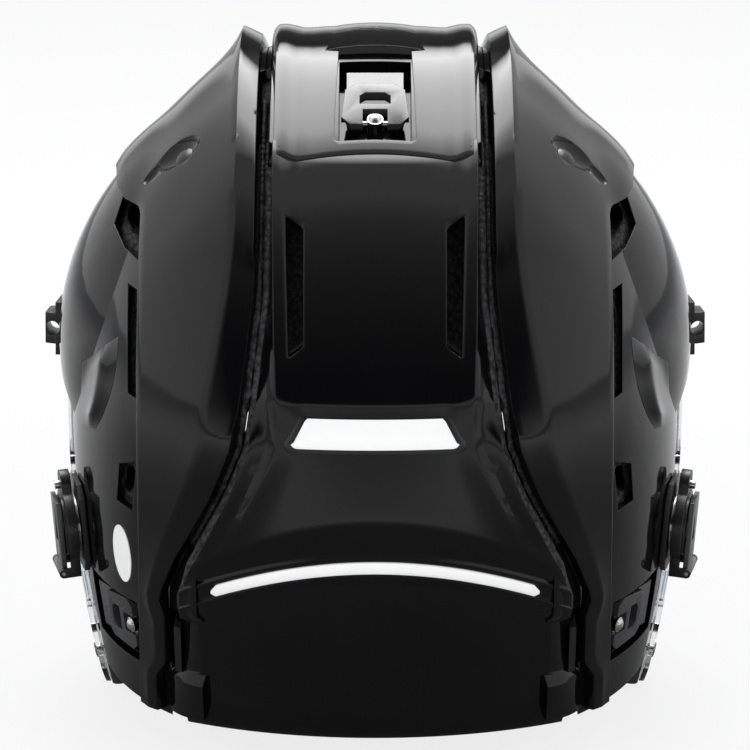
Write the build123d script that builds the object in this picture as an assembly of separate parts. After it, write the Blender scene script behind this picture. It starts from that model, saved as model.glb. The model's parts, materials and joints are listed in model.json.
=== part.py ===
from build123d import *
from collections import namedtuple
from math import sqrt
import os

# Youth ice hockey helmet. Millimetres, +Z up, the face opening towards -Y.
# The origin is on the ground under the middle of the shell, with X across the head.
# Left is the +X side. Each form is an ellipsoid whose lower half may be deeper.
# The forms and outlines stand on the nape edge, and save() lifts them onto the ground,
# which the lower ear guards touch.

Form = namedtuple("Form", "half_width half_length rise drop height")

# Shell sizes
half_width = 95.0
half_length = 115.0
rise = 121.0
drop = 190.0
waist_height = 77.0
shell_wall = 3.0
crown_height = waist_height + rise

# The fuller temples stand out of the shell
bulge_reach = 4.0
bulge_half_length = 85.0
bulge_rise = 88.0
bulge_lift = 23.0
bulge_edge_shares = ((1.06, 0.485), (0.955, 0.389), (0.955, -0.2), (1.3, -0.2), (1.3, 0.485))

# The middle band and the cup behind the head are flatter across
band_half_width = 130.0
band_half_length = 115.0
band_rise = 118.5
band_drop = 135.0
tongue_wall = 4.0
tongue_clearance = 2.5

# Panels over the shell on both sides of the band
panel_gap = 0.3
panel_wall = 3.0
rail_height = 4.0
panel_lift = panel_gap + panel_wall

# Liner
fit_gap = 0.3
foam_wall = 15.0
pad_wall = 5.0
foam_split_gap = 1.0
pad_inset = 4.0

# The ear guards reach down past the nape edge to the ground
nape_share = 0.056

# How far the rear half slides out to size the helmet
size_travel = 10.0

# Cutting overrun, and the far reach of cutting prisms
overrun = 1.0
reach = 2 * (half_length + crown_height)
nape_height = nape_share * crown_height

shell_form = Form(half_width, half_length, rise, drop, waist_height)
bulge_form = Form(half_width + bulge_reach, bulge_half_length, bulge_rise, bulge_rise,
                  waist_height + bulge_lift)
band_form = Form(band_half_width, band_half_length, band_rise, band_drop, waist_height)

# Outlines seen from behind: x as a share of the half width, z of the crown height
seam_share = 0.874
band_edge_shares = (
    (0.0, 0.874), (0.263, 0.874), (0.326, 0.882), (0.332, 0.687), (0.364, 0.551),
    (0.387, 0.475), (0.453, 0.397), (0.568, 0.288), (0.616, 0.237), (0.616, 0.205),
    (0.547, 0.194), (0.542, 0.106), (0.605, 0.093), (0.590, 0.010), (0.0, 0.010),
)
groove_edge_shares = (
    (0.0, 1.2), (0.343, 1.2), (0.343, 0.687), (0.377, 0.551), (0.400, 0.475),
    (0.466, 0.397), (0.582, 0.288), (0.642, 0.225), (0.642, -0.1), (0.0, -0.1),
)
foam_slot_share = 0.008
track_edge_share = 0.600
foam_edge_shares = (
    (0.0, 1.2), *((x - foam_slot_share, z) for x, z in groove_edge_shares[1:-3]),
    (track_edge_share, 0.237), (track_edge_share, 0.03), (0.0, 0.03),
)
panel_edge_shares = (
    (0.358, 1.2), (0.358, 0.687), (0.394, 0.551), (0.417, 0.475), (0.480, 0.397),
    (0.596, 0.288), (0.647, 0.222), (0.647, 0.197), (0.630, 0.192), (0.630, 0.114),
    (0.663, 0.086), (0.663, 0.022), (0.730, 0.022), (0.711, 0.30), (0.711, 0.773),
    (0.832, 0.742), (0.842, 1.2),
)
rail_edge_shares = ((0.358, 1.2), (0.358, 0.74), (0.400, 0.72), (0.407, 1.2))
bay_edge_shares = (
    (0.0, 1.2), (0.526, 1.2), (0.526, 0.455), (0.642, 0.303), (0.642, -0.1), (0.0, -0.1),
)
bay_front_share = 0.174
scoop_vent_shares = (
    (0.70, 0.783), (0.80, 0.768), (0.832, 0.722), (0.79, 0.697), (0.70, 0.687),
)
side_vent_shares = ((0.70, 0.652), (0.774, 0.657), (0.768, 0.510), (0.70, 0.500))
low_vent_shares = ((0.742, 0.414), (0.80, 0.399), (0.811, 0.338), (0.758, 0.333))
band_vent_shares = ((0.273, 0.796), (0.218, 0.780), (0.216, 0.626), (0.261, 0.611))

# The foam behind a side vent shows as a ledge round a smaller hole, set inwards,
# and the foam behind the band's vents has pockets
foam_vent_shrink = 0.4
foam_vent_inset_share = 0.012
band_vent_pocket = 8.0

# Ribs along both edges of the band and of the tongue above it
rib_height = 2.0
band_rib_shares = ((0.293, 0.8775), (0.326, 0.882), (0.332, 0.687), (0.346, 0.61),
                   (0.312, 0.56), (0.293, 0.60))
tongue_rib_shares = ((0.293, 0.8775), (0.326, 0.882), (0.326, 1.2), (0.293, 1.2))

# The panels' front end seen from above: x by the half width, y by the half length
panel_plan_shares = (
    (0.30, 1.2), (0.30, -0.226), (0.547, -0.209), (0.737, -0.104), (0.863, 0.052),
    (0.863, 0.209), (0.721, 0.365), (0.737, 0.522), (0.79, 1.2),
)

# The rim seen from the side: y as a share of the half length, z of the crown height
rim_shares = (
    (-1.2, 0.404), (-0.74, 0.404), (-0.574, 0.333), (-0.47, 0.202), (-0.435, 0.091),
    (-0.383, 0.061), (-0.296, 0.061), (-0.261, 0.091), (-0.235, 0.222), (-0.157, 0.263),
    (0.07, 0.263), (0.148, 0.222), (0.191, 0.040), (0.243, 0.010), (1.2, 0.010),
    (1.2, 1.2), (-1.2, 1.2),
)
foam_rim_shares = (
    (-1.2, 0.424), (-0.72, 0.424), (-0.55, 0.348), (-0.445, 0.202), (-0.40, 0.101),
    (-0.33, 0.091), (-0.285, 0.242), (-0.19, 0.308), (0.104, 0.308), (0.20, 0.242),
    (0.235, 0.060), (0.30, 0.030), (1.2, 0.030), (1.2, 1.2), (-1.2, 1.2),
)
guard_shares = (
    (-0.29, 0.285), (0.125, 0.285), (0.155, 0.20), (0.17, -0.015), (0.09, -nape_share),
    (-0.15, -nape_share), (-0.26, 0.0), (-0.29, 0.20),
)
guard_tab_shares = ((-0.17, 0.27), (0.01, 0.27), (-0.01, 0.43), (-0.13, 0.43))
front_split_share = -0.40
rear_split_share = 0.30
crown_half_share = 0.46

# Raised name plate and stripe on the band, left plain
plate_wall = 1.2
plate_recess = 0.7
plate_shares = ((-0.202, 0.538), (0.202, 0.538), (0.250, 0.490), (-0.250, 0.490))
stripe_half_share = 0.508
stripe_top_share = 0.319
stripe_end_share = 0.271
stripe_height = 3.7
stripe_recess = 0.8
stripe_wall = 1.2

# Oval label behind the left ear, left plain
label_share = (0.797, 0.255)
label_half_height = 9.0
label_half_width = 5.5
label_wall = 0.3

# Latches: lever, post, cross axle, tray and window
lever_half_width = 8.5
lever_head = 16.5
lever_tab = 23.5
lever_tab_half_width = 7.2
lever_tab_wall = 1.4
lever_wall = 3.2
lever_step = 1.0
lever_window_half_width = 3.9
lever_window_height = 5.2
lever_window_foot = 7.0
lever_chamfer = 3.0
lever_notch_half_width = 3.1
lever_notch_top = 4.6
lever_tail = 2.2
hinge_height = 1.2
barrel_radius = 1.9
barrel_reach = 6.0
axle_radius = 0.9
axle_reach = 5.6
axle_play = 0.05
post_radius = 2.4
post_fit = 0.03
stem_radius = 1.8
stem_play = 0.15
latch_sink = 4.5
window_half_width = 10.7
window_tail = 14.0
window_head = 30.0
side_window_tail = 9.0
side_window_head = 28.0
side_window_half_width = 10.3
tray_floor = 6.0
tray_wall = 1.5
top_hinge_share = 0.916
side_hinge_shares = (0.79, 0.131)
nut_radius = 3.6
nut_wall = 2.0

# Tracks that the latches clamp
track_wall = 2.0
track_half_width = 8.0
track_tail = 52.0
track_head = 16.0
side_track_half_height = 8.0
side_track_front = 10.0
side_lock_radius = 1.8
side_lock_back = 2.5

# Clip that holds a cage strap, on each side behind the ear
clip_shares = (0.261, 0.245)
bracket_half_width = 10.0
bracket_half_height = 14.0
bracket_wall = 1.6
bracket_corner = 4.0
boss_radius = 7.0
boss_top = 1.8
washer_radius = 9.0
washer_wall = 0.4
washer_gap = 0.1
disc_radius = 12.0
disc_wall = 3.0
disc_rim_radius = 9.6
disc_rim_wall = 0.7
arm_half_width = 4.5
arm_top = 17.5
arm_pin_radius = 1.3
arm_pin_out = 1.6
flap_half_width = 6.5
flap_foot = 13.5
flap_top = 9.0
flap_wall = 1.5
flap_window_half_width = 2.6
flap_window_top = 5.0
flap_hinge_radius = 1.4
flap_pin_radius = 0.6
clip_screw_radius = 2.0
clip_head_radius = 4.0
clip_head_wall = 1.4
screw_play = 0.1
foam_play = 0.6

# Loop clip at each temple, where a cage wire snaps in
temple_shares = (-0.07, 0.513)
temple_half_height = 8.5
temple_half_width = 5.0
temple_reach = 5.0
temple_slot_radius = 2.6
temple_plate_wall = 1.6

# Ear guard
guard_gap = 0.4
guard_wall = 1.6
guard_slot_half_width = 1.5
guard_slot_half_height = 6.0
guard_slot_pitch = 6.5
guard_slot_share = 0.10
guard_screw_shares = ((-0.21, 0.272), (0.06, 0.272))
guard_post_share = (-0.10, 0.01)
guard_screw_radius = 1.5
guard_head_radius = 3.4
guard_head_wall = 1.6

# Folded strap end on a rivet inside each ear guard
fold_shares = (0.030, -0.008)
fold_height = 17.0
fold_radius = 3.8
fold_wall = 1.8
fold_length = 12.0
fold_tail = 5.0
fold_gap = 1.2
fold_rivet_radius = 1.6
fold_rivet_head = 3.2
fold_rivet_wall = 1.2

# Screws that hold the panels down, in a pocket at each shoulder
shoulder_shares = (0.612, 0.843)
pocket_radius = 6.2
pocket_depth = 1.5
panel_head_radius = 3.8
panel_head_wall = 1.3
panel_screw_radius = 2.0
panel_screw_length = 9.0

# Threaded inserts for a visor or cage screw
nut_bore = 2.1
insert_radius = 3.2
insert_flange_radius = 7.0
insert_flange_wall = 1.4
brow_insert_shares = (0.42, 0.53)
temple_insert_shares = (-0.48, 0.42)

# Front vents
brow_vent_half_width = 3.0
brow_vent_half_height = 14.0
brow_vent_shares = ((0.14, 0.60), (0.34, 0.66))
crown_vent_half_width = 4.0
crown_vent_half_length = 15.0
crown_vent_shares = ((0.17, -0.50), (0.45, -0.42))

os.makedirs("parts", exist_ok=True)


# Basic shapes

def grown_form(form, grow=0):
    """Closed solid of a form, with every semi-axis grown alike."""
    across, up, down = form.half_width + grow, form.rise + grow, form.drop + grow
    upper = EllipticalCenterArc((0, 0), across, up, start_angle=0, arc_size=90)
    lower = EllipticalCenterArc((0, 0), across, down, start_angle=270, arc_size=90)
    half = Plane.XZ * make_face([lower, upper, Line((0, up), (0, -down))])
    round_body = revolve(half, axis=Axis.Z)
    return Pos(0, 0, form.height) * scale(round_body, by=(1, (form.half_length + grow) / across, 1))


def skin(form, outer, inner):
    return grown_form(form, outer) - grown_form(form, inner)


def head_form(grow=0):
    """The shell's form with the fuller temples, which end in a bevel above the ears."""
    bevel = Pos(grow, 0, 0) * behind_prism(bulge_edge_shares, near=-reach)
    temples = grown_form(bulge_form, grow) - bevel - mirrored(bevel)
    return grown_form(shell_form, grow) + temples


def both_sides(shares):
    """Closes a half outline over its mirror image."""
    mirrored = [(-x, z) for x, z in reversed(shares) if x]
    return [*shares, *mirrored]


def behind_prism(shares, near=0, far=None):
    """Prism over an outline seen from behind, from y = near to y = far."""
    far = reach if far is None else far
    corners = [(x * half_width, near, z * crown_height) for x, z in shares]
    face = make_face(Polyline(*corners, close=True))
    return extrude(face, amount=far - near, dir=(0, 1, 0))


def side_prism(shares):
    """Prism across the whole helmet over an outline seen from the side."""
    corners = [(-reach / 2, y * half_length, z * crown_height) for y, z in shares]
    face = make_face(Polyline(*corners, close=True))
    return extrude(face, amount=reach, dir=(1, 0, 0))


def plan_prism(shares):
    """Prism upwards over an outline seen from above."""
    corners = [(x * half_width, y * half_length, 0) for x, y in shares]
    face = make_face(Polyline(*corners, close=True))
    return extrude(face, amount=reach, dir=(0, 0, 1))


def block(low, high):
    """Box between two corners."""
    size = [h - l for l, h in zip(low, high)]
    middle = [(h + l) / 2 for l, h in zip(low, high)]
    return Pos(*middle) * Box(*size)


def plate(corners, low, high):
    """Prism over (x, y) corners from z = low to z = high."""
    face = make_face(Polyline(*[(x, y, low) for x, y in corners], close=True))
    return extrude(face, amount=high - low, dir=(0, 0, 1))


def rod(radius, low, high):
    """Cylinder along Z from low to high."""
    return Pos(0, 0, (low + high) / 2) * Cylinder(radius, high - low)


def cross_rod(radius, low, high):
    """Cylinder along X from low to high."""
    return Rot(0, 90, 0) * rod(radius, low, high)


def mirrored(solid):
    return mirror(solid, about=Plane.YZ)


def save(name, *solids):
    bodies = [Pos(0, 0, nape_height) * body for solid in solids for body in solid.solids()]
    export_step(bodies[0] if len(bodies) == 1 else Compound(bodies), f"parts/{name}.step")


def save_pair(name, solid):
    save(f"{name}_left", solid)
    save(f"{name}_right", mirrored(solid))


# Seats on the curved forms

def seat_behind(form, x, z, grow=0, front=False):
    """Plane on a form at (x, z): local z points out of the surface and local y up along it."""
    across, along = form.half_width + grow, form.half_length + grow
    up = (form.rise if z > form.height else form.drop) + grow
    rest = 1 - (x / across) ** 2 - ((z - form.height) / up) ** 2
    y = along * sqrt(rest) * (-1 if front else 1)
    return seat_plane((x, y, z), (x / across ** 2, y / along ** 2, (z - form.height) / up ** 2))


def seat_beside(form, y, z, grow=0):
    """Plane on the left side of a form at (y, z)."""
    across, along = form.half_width + grow, form.half_length + grow
    up = (form.rise if z > form.height else form.drop) + grow
    x = across * sqrt(1 - (y / along) ** 2 - ((z - form.height) / up) ** 2)
    return seat_plane((x, y, z), (x / across ** 2, y / along ** 2, (z - form.height) / up ** 2))


def seat_plane(point, normal):
    out = Vector(*normal).normalized()
    upwards = (Vector(0, 0, 1) - out * out.Z).normalized()
    return Plane(origin=point, x_dir=upwards.cross(out), z_dir=out)


def turned(plane, degrees):
    return Plane(plane.location * Rot(0, 0, degrees))


def shifted(plane, out):
    return Plane(plane.location * Pos(0, 0, out))


top_seat = seat_behind(band_form, 0, top_hinge_share * crown_height)
top_latch_plane = shifted(top_seat, -latch_sink)
side_seat = seat_behind(shell_form, side_hinge_shares[0] * half_width,
                        side_hinge_shares[1] * crown_height)
side_latch_plane = turned(shifted(side_seat, -latch_sink), 90)
slide_direction = -top_latch_plane.y_dir
clip_plane = seat_beside(shell_form, clip_shares[0] * half_length,
                         clip_shares[1] * crown_height)
temple_plane = seat_beside(bulge_form, temple_shares[0] * half_length,
                           temple_shares[1] * crown_height)
shoulder_plane = shifted(seat_behind(shell_form, shoulder_shares[0] * half_width,
                                     shoulder_shares[1] * crown_height, grow=panel_lift),
                         -pocket_depth)
brow_insert_plane = seat_behind(shell_form, brow_insert_shares[0] * half_width,
                                brow_insert_shares[1] * crown_height, front=True)
temple_insert_plane = seat_beside(shell_form, temple_insert_shares[0] * half_length,
                                  temple_insert_shares[1] * crown_height)
guard_screw_planes = [seat_beside(shell_form, y * half_length, z * crown_height,
                                  grow=guard_gap + guard_wall)
                      for y, z in guard_screw_shares]
guard_post_plane = seat_beside(shell_form, guard_post_share[0] * half_length,
                               guard_post_share[1] * crown_height, grow=guard_gap + guard_wall)
fold_plane = seat_beside(shell_form, fold_shares[0] * half_length,
                         fold_shares[1] * crown_height, grow=guard_gap)


# Latches, in local axes: x across, y towards the free end, z outwards

def latch_lever():
    ring = plate([(lever_half_width - lever_tail, -lever_tail), (lever_half_width, lever_step),
                  (lever_half_width - lever_step, lever_head - lever_chamfer),
                  (lever_half_width - lever_chamfer - lever_step, lever_head),
                  (-lever_half_width + lever_chamfer + lever_step, lever_head),
                  (-lever_half_width + lever_step, lever_head - lever_chamfer),
                  (-lever_half_width, lever_step), (-lever_half_width + lever_tail, -lever_tail)],
                 lever_step, lever_wall)
    tab = block((-lever_tab_half_width, lever_notch_top, 0),
                (lever_tab_half_width, lever_tab, lever_tab_wall))
    barrels = Pos(0, 0, hinge_height) * cross_rod(barrel_radius, -barrel_reach, barrel_reach)
    lever = ring + tab + barrels
    lever -= block((-lever_notch_half_width, -barrel_radius - overrun, -barrel_radius - overrun),
                   (lever_notch_half_width, lever_notch_top, lever_wall + overrun))
    shoulder = lever_window_half_width - lever_chamfer / 2
    top = lever_window_foot + lever_window_height
    lever -= plate([(-lever_window_half_width, lever_window_foot),
                    (lever_window_half_width, lever_window_foot),
                    (lever_window_half_width, top - lever_chamfer / 2), (shoulder, top),
                    (-shoulder, top), (-lever_window_half_width, top - lever_chamfer / 2)],
                   -overrun, lever_wall + overrun)
    lever -= Pos(0, 0, hinge_height) * cross_rod(axle_radius + axle_play, -reach, reach)
    return lever


def latch_axle():
    return Pos(0, 0, hinge_height) * cross_rod(axle_radius, -axle_reach, axle_reach)


def latch_post(foot):
    """Bullet-headed post that carries the cross axle, with its stem down to the foot."""
    dome = Pos(0, 0, lever_wall) * Sphere(post_radius, arc_size1=0)
    post = rod(post_radius, -tray_floor, lever_wall) + dome + rod(stem_radius, foot, -tray_floor)
    return post - Pos(0, 0, hinge_height) * cross_rod(axle_radius + post_fit, -reach, reach)


def latch_nut(top):
    return rod(nut_radius, top - nut_wall, top) - rod(stem_radius + post_fit, -reach, reach)


def latch_window(half, tail, head):
    return block((-half, -tail, -reach / 4), (half, head, reach / 4))


def latch_tray(half, tail, head):
    """Open box under a latch window, trimmed to the inner face of the shell."""
    outer = block((-half - tray_wall, -tail - tray_wall, -tray_floor - tray_wall),
                  (half + tray_wall, head + tray_wall, latch_sink))
    inner = block((-half, -tail, -tray_floor), (half, head, latch_sink + overrun))
    return outer - inner - rod(stem_radius + stem_play, -reach / 4, 0)


def latch_pocket(half, tail, head, depth):
    clear = tray_wall + fit_gap
    return block((-half - clear, -tail - clear, -depth),
                 (half + clear, head + clear, latch_sink + shell_wall))


stem_foot = -(tray_floor + tray_wall + track_wall + nut_wall + 3 * fit_gap)
track_top = -(tray_floor + tray_wall + fit_gap)
nut_top = track_top - track_wall - fit_gap


def top_track():
    """Plate fixed to the rear half, with a slot along the slide for the latch stem."""
    strip = block((-track_half_width, -track_tail, track_top - track_wall),
                  (track_half_width, track_head + size_travel, track_top))
    slot_half = stem_radius + stem_play
    slot = block((-slot_half, 0, -reach / 4), (slot_half, size_travel, 0))
    slot += rod(slot_half, -reach / 4, 0) + Pos(0, size_travel, 0) * rod(slot_half, -reach / 4, 0)
    strip = top_latch_plane.location * (strip - slot)
    return strip & grown_form(band_form, -shell_wall - fit_gap)


def track_slot():
    """Room in the liner for the top track over its whole travel, with the nut."""
    clear = fit_gap
    room = block((-track_half_width - clear, -reach / 4, nut_top - nut_wall - clear),
                 (track_half_width + clear, track_head + size_travel + clear,
                  track_top + clear))
    return top_latch_plane.location * room


# Side tracks: flat plates in the YZ plane beside the rear liner

side_track_inner = track_edge_share * half_width + fit_gap
lock_centre = side_latch_plane.location * Pos(0, -side_lock_back, -tray_floor - tray_wall)
lock_y = lock_centre.position.Y
lock_z = lock_centre.position.Z


def along_slide(length):
    """Oblong along the slide in the YZ plane, as a cutting solid."""
    radius = side_lock_radius + stem_play
    step = slide_direction * -length
    first = Pos(0, lock_y, lock_z) * cross_rod(radius, 0, reach / 4)
    last = Pos(0, lock_y + step.Y, lock_z + step.Z) * cross_rod(radius, 0, reach / 4)
    normal = Vector(0, -slide_direction.Z, slide_direction.Y)
    corners = []
    for end, sign in ((0, 1), (1, 1), (1, -1), (0, -1)):
        middle = Vector(0, lock_y, lock_z) + step * end
        corners.append(middle + normal * (radius * sign))
    face = make_face(Polyline(*corners, close=True))
    return first + last + extrude(face, amount=reach / 4, dir=(1, 0, 0))


def side_track():
    """Plate that stands out of the cup's side, with the slot that the lock pin runs in."""
    strip = block((side_track_inner, lock_y - side_track_front, lock_z - side_track_half_height),
                  (side_track_inner + track_wall, reach / 4, lock_z + side_track_half_height))
    strip -= along_slide(size_travel)
    return strip & grown_form(band_form, -shell_wall - fit_gap)


def side_lock():
    pin = Pos(0, lock_y, lock_z) * cross_rod(side_lock_radius, side_track_inner, half_width)
    tray_back = block((-reach / 4, -reach / 4, -reach / 4),
                      (reach / 4, reach / 4, -tray_floor - tray_wall - fit_gap / 3))
    return pin & (side_latch_plane.location * tray_back)


def side_track_room():
    """Room in the side liner for a side track, its lock pin and its travel."""
    low = lock_z - side_track_half_height - size_travel
    high = lock_z + side_track_half_height + fit_gap
    room = block((0, lock_y - side_track_front - fit_gap, low),
                 (side_track_inner + track_wall + fit_gap, reach / 4, high))
    pin = Pos(0, lock_y, lock_z) * cross_rod(side_lock_radius + foam_play, 0, half_width)
    return room + pin


# Fasteners and their holes

def domed_screw(plane, head, wall, shank, length):
    """Low domed head above the plane, with a plain shank below it."""
    cap_radius = (head ** 2 + wall ** 2) / (2 * wall)
    cap = Pos(0, 0, wall - cap_radius) * Sphere(cap_radius)
    cap &= rod(head, 0, wall)
    return plane.location * (cap + rod(shank, -length, wall / 4))


def drilled(plane, radius):
    return plane.location * rod(radius, -reach / 16, reach / 16)


def visor_insert(plane):
    """Threaded insert with a flange under the shell, and a bore for the visor screw."""
    under = -shell_wall - 2 * fit_gap
    body = rod(insert_radius, under, -fit_gap)
    body += rod(insert_flange_radius, under - insert_flange_wall, under)
    return plane.location * (body - rod(nut_bore, -reach / 8, reach / 8))


def insert_planes():
    return [brow_insert_plane, temple_insert_plane]


# Front half

def side_cutters():
    """What both sides of the front shell lose: vents, latch window and screw holes."""
    cuts = behind_prism(scoop_vent_shares) + behind_prism(side_vent_shares)
    cuts += behind_prism(low_vent_shares)
    cuts += side_latch_plane.location * latch_window(side_window_half_width, side_window_tail,
                                                     side_window_head)
    cuts += drilled(clip_plane, clip_screw_radius + screw_play)
    cuts += drilled(shoulder_plane, panel_screw_radius + screw_play)
    for plane in guard_screw_planes:
        cuts += drilled(plane, guard_screw_radius + screw_play)
    for plane in insert_planes():
        cuts += drilled(plane, insert_radius + screw_play)
    cuts += drilled(temple_plane, guard_screw_radius + screw_play)
    for x, z in brow_vent_shares:
        plane = seat_behind(shell_form, x * half_width, z * crown_height, front=True)
        cuts += plane.location * block((-brow_vent_half_width, -brow_vent_half_height,
                                        -foam_wall),
                                       (brow_vent_half_width, brow_vent_half_height, foam_wall))
    for x, y in crown_vent_shares:
        middle = Pos(x * half_width, y * half_length, crown_height)
        cuts += middle * block((-crown_vent_half_width, -crown_vent_half_length, -waist_height),
                               (crown_vent_half_width, crown_vent_half_length, foam_wall))
    keep = block((0, -reach / 2, -reach / 4), (half_width + foam_wall, reach / 2, reach))
    return cuts & keep


def front_shell():
    shell = (head_form() - head_form(-shell_wall)) & side_prism(rim_shares)
    shell -= behind_prism(both_sides(bay_edge_shares), near=bay_front_share * half_length)
    tongue_half = band_edge_shares[2][0]
    tongue_shares = ((0.0, seam_share), (band_edge_shares[1][0], seam_share),
                     (tongue_half, band_edge_shares[2][1]), (tongue_half, 1.2), (0.0, 1.2))
    front = panel_plan_shares[1][1] * half_length
    tongue = skin(band_form, 0, -tongue_wall)
    tongue &= Pos(0, 0, fit_gap) * behind_prism(both_sides(tongue_shares), near=front)
    rib = Pos(0, 0, fit_gap) * behind_prism(tongue_rib_shares, near=front)
    shell += tongue + (skin(band_form, rib_height, -tongue_wall) & (rib + mirrored(rib)))
    shell -= top_latch_plane.location * latch_window(window_half_width, window_tail, window_head)
    cuts = side_cutters()
    return shell - cuts - mirrored(cuts)


def side_panel():
    outer, inner = panel_lift, panel_gap
    front = panel_plan_shares[1][1] * half_length
    base = head_form(inner)
    panel = (head_form(outer) - base) & behind_prism(panel_edge_shares, near=front)
    rail = grown_form(shell_form, outer + rail_height) - base
    rail &= behind_prism(rail_edge_shares, near=front)
    panel = (panel + rail) & plan_prism(panel_plan_shares)
    panel -= shoulder_plane.location * rod(pocket_radius, 0, foam_wall)
    return panel - drilled(shoulder_plane, panel_screw_radius + screw_play)


def liner_blank():
    """Foam between the shell and the pads, before it is split into blocks."""
    outer = head_form(-shell_wall - fit_gap)
    outer &= grown_form(band_form, -tongue_wall - fit_gap)
    blank = outer - grown_form(shell_form, -shell_wall - fit_gap - foam_wall)
    return blank & side_prism(foam_rim_shares)


def foam_cutters():
    """What the liner loses on the left side."""
    cuts = side_latch_plane.location * latch_pocket(side_window_half_width, side_window_tail,
                                                    side_window_head,
                                                    tray_floor + tray_wall + fit_gap)
    cuts += side_track_room()
    cuts += drilled(clip_plane, clip_screw_radius + foam_play)
    cuts += drilled(shoulder_plane, panel_screw_radius + foam_play)
    cuts += drilled(temple_plane, guard_screw_radius + foam_play)
    for plane in insert_planes():
        cuts += drilled(plane, insert_flange_radius + foam_play)
    for plane in guard_screw_planes:
        cuts += drilled(plane, guard_screw_radius + foam_play)
    for shares in (scoop_vent_shares, side_vent_shares, low_vent_shares):
        middle_x = sum(x for x, z in shares) / len(shares)
        middle_z = sum(z for x, z in shares) / len(shares)
        inner_shares = [(x + (middle_x - x) * foam_vent_shrink - foam_vent_inset_share,
                         z + (middle_z - z) * foam_vent_shrink) for x, z in shares]
        cuts += behind_prism(inner_shares)
    for x, z in brow_vent_shares:
        plane = seat_behind(shell_form, x * half_width, z * crown_height, front=True)
        cuts += plane.location * block((-brow_vent_half_width, -brow_vent_half_height,
                                        -2 * foam_wall),
                                       (brow_vent_half_width, brow_vent_half_height, foam_wall))
    for x, y in crown_vent_shares:
        middle = Pos(x * half_width, y * half_length, crown_height)
        cuts += middle * block((-crown_vent_half_width, -crown_vent_half_length, -waist_height),
                               (crown_vent_half_width, crown_vent_half_length, foam_wall))
    keep = block((0, -reach / 2, -reach / 4), (half_width + foam_wall, reach / 2, reach))
    return cuts & keep


def front_foam(blank, cuts):
    split = front_split_share * half_length
    piece = blank & block((-reach / 2, -reach / 2, 0), (reach / 2, split, reach))
    return piece - cuts - mirrored(cuts)


def crown_foam(blank):
    low = front_split_share * half_length + foam_split_gap
    high = rear_split_share * half_length
    half = crown_half_share * half_width
    piece = blank & block((-half, low, waist_height), (half, high, reach))
    piece -= top_latch_plane.location * latch_pocket(window_half_width, window_tail, window_head,
                                                     tray_floor + tray_wall + fit_gap)
    return piece - track_slot()


def side_foam(blank, cuts):
    """Left side block, which also fills under the panel behind the ear."""
    low = front_split_share * half_length + foam_split_gap
    high = rear_split_share * half_length
    middle = crown_half_share * half_width + foam_split_gap
    ridge = grown_form(shell_form, panel_gap - fit_gap) - grown_form(shell_form, -2 * shell_wall)
    bay = behind_prism(both_sides(bay_edge_shares), near=bay_front_share * half_length + fit_gap)
    outline = head_form(-shell_wall - fit_gap)
    outline -= grown_form(shell_form, -shell_wall - fit_gap - foam_wall)
    outline &= side_prism(foam_rim_shares)
    lean = Pos(-fit_gap, 0, 0) * bay & Pos(fit_gap, 0, 0) * bay
    piece = outline + (ridge & lean & side_prism(foam_rim_shares))
    ahead = block((middle, low, 0), (reach / 2, high + fit_gap, reach))
    behind = block((0, high + fit_gap, 0), (reach / 2, reach / 2, reach))
    behind -= behind_prism(both_sides(groove_edge_shares))
    return (piece & (ahead + behind)) - cuts


def pad(low, high):
    """Comfort pad on the inner face of the liner, inside a box."""
    start = -shell_wall - foam_wall - 2 * fit_gap
    return skin(shell_form, start, start - pad_wall) & block(low, high)


def brow_pad():
    half = half_width - shell_wall - foam_wall - pad_inset
    low = foam_rim_shares[0][1] * crown_height
    return pad((-half, -reach / 2, low + pad_inset),
               (half, front_split_share * half_length, waist_height + bulge_rise / 2))


def crown_pad():
    half_pad = crown_half_share * half_width - pad_inset
    return pad((-half_pad, front_split_share * half_length + pad_inset, waist_height),
               (half_pad, rear_split_share * half_length - pad_inset, reach))


def side_pad():
    low = front_split_share * half_length + pad_inset
    return pad((0, low, foam_rim_shares[7][1] * crown_height + pad_inset),
               (reach / 2, rear_split_share * half_length, waist_height + bulge_rise * 2 / 3))


# Ear guard, clip, loop clip and strap end on the left side

def ear_guard():
    low, high = guard_gap, guard_gap + guard_wall
    guard = skin(shell_form, high, low) & side_prism(guard_shares)
    guard &= block((0, -reach / 2, -reach / 4), (reach / 2, reach / 2, reach))
    for plane in (*guard_screw_planes, guard_post_plane):
        guard -= drilled(plane, guard_screw_radius + screw_play)
    guard -= drilled(fold_plane, fold_rivet_radius + screw_play)
    for step in (-2, -1, 0, 1):
        middle = Pos(half_width, step * guard_slot_pitch, guard_slot_share * crown_height)
        guard -= middle * block((-half_width / 2, -guard_slot_half_width, -guard_slot_half_height),
                                (half_width / 2, guard_slot_half_width, guard_slot_half_height))
    tab = (head_form(high) - head_form(low)) & side_prism(guard_tab_shares)
    return guard + (tab & block((0, -reach / 2, 0), (reach / 2, reach / 2, reach)))


def guard_screws():
    under = guard_gap + guard_wall + shell_wall
    screws = [domed_screw(plane, guard_head_radius, guard_head_wall, guard_screw_radius, under)
              for plane in guard_screw_planes]
    screws.append(domed_screw(guard_post_plane, guard_head_radius, guard_head_wall,
                              guard_screw_radius, guard_wall + fit_gap))
    return screws


washer_low = boss_top + washer_gap
washer_high = washer_low + washer_wall + washer_gap
disc_low = washer_high + washer_wall + washer_gap
disc_top = disc_low + disc_wall
flap_low = disc_top + disc_rim_wall + fit_gap


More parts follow.
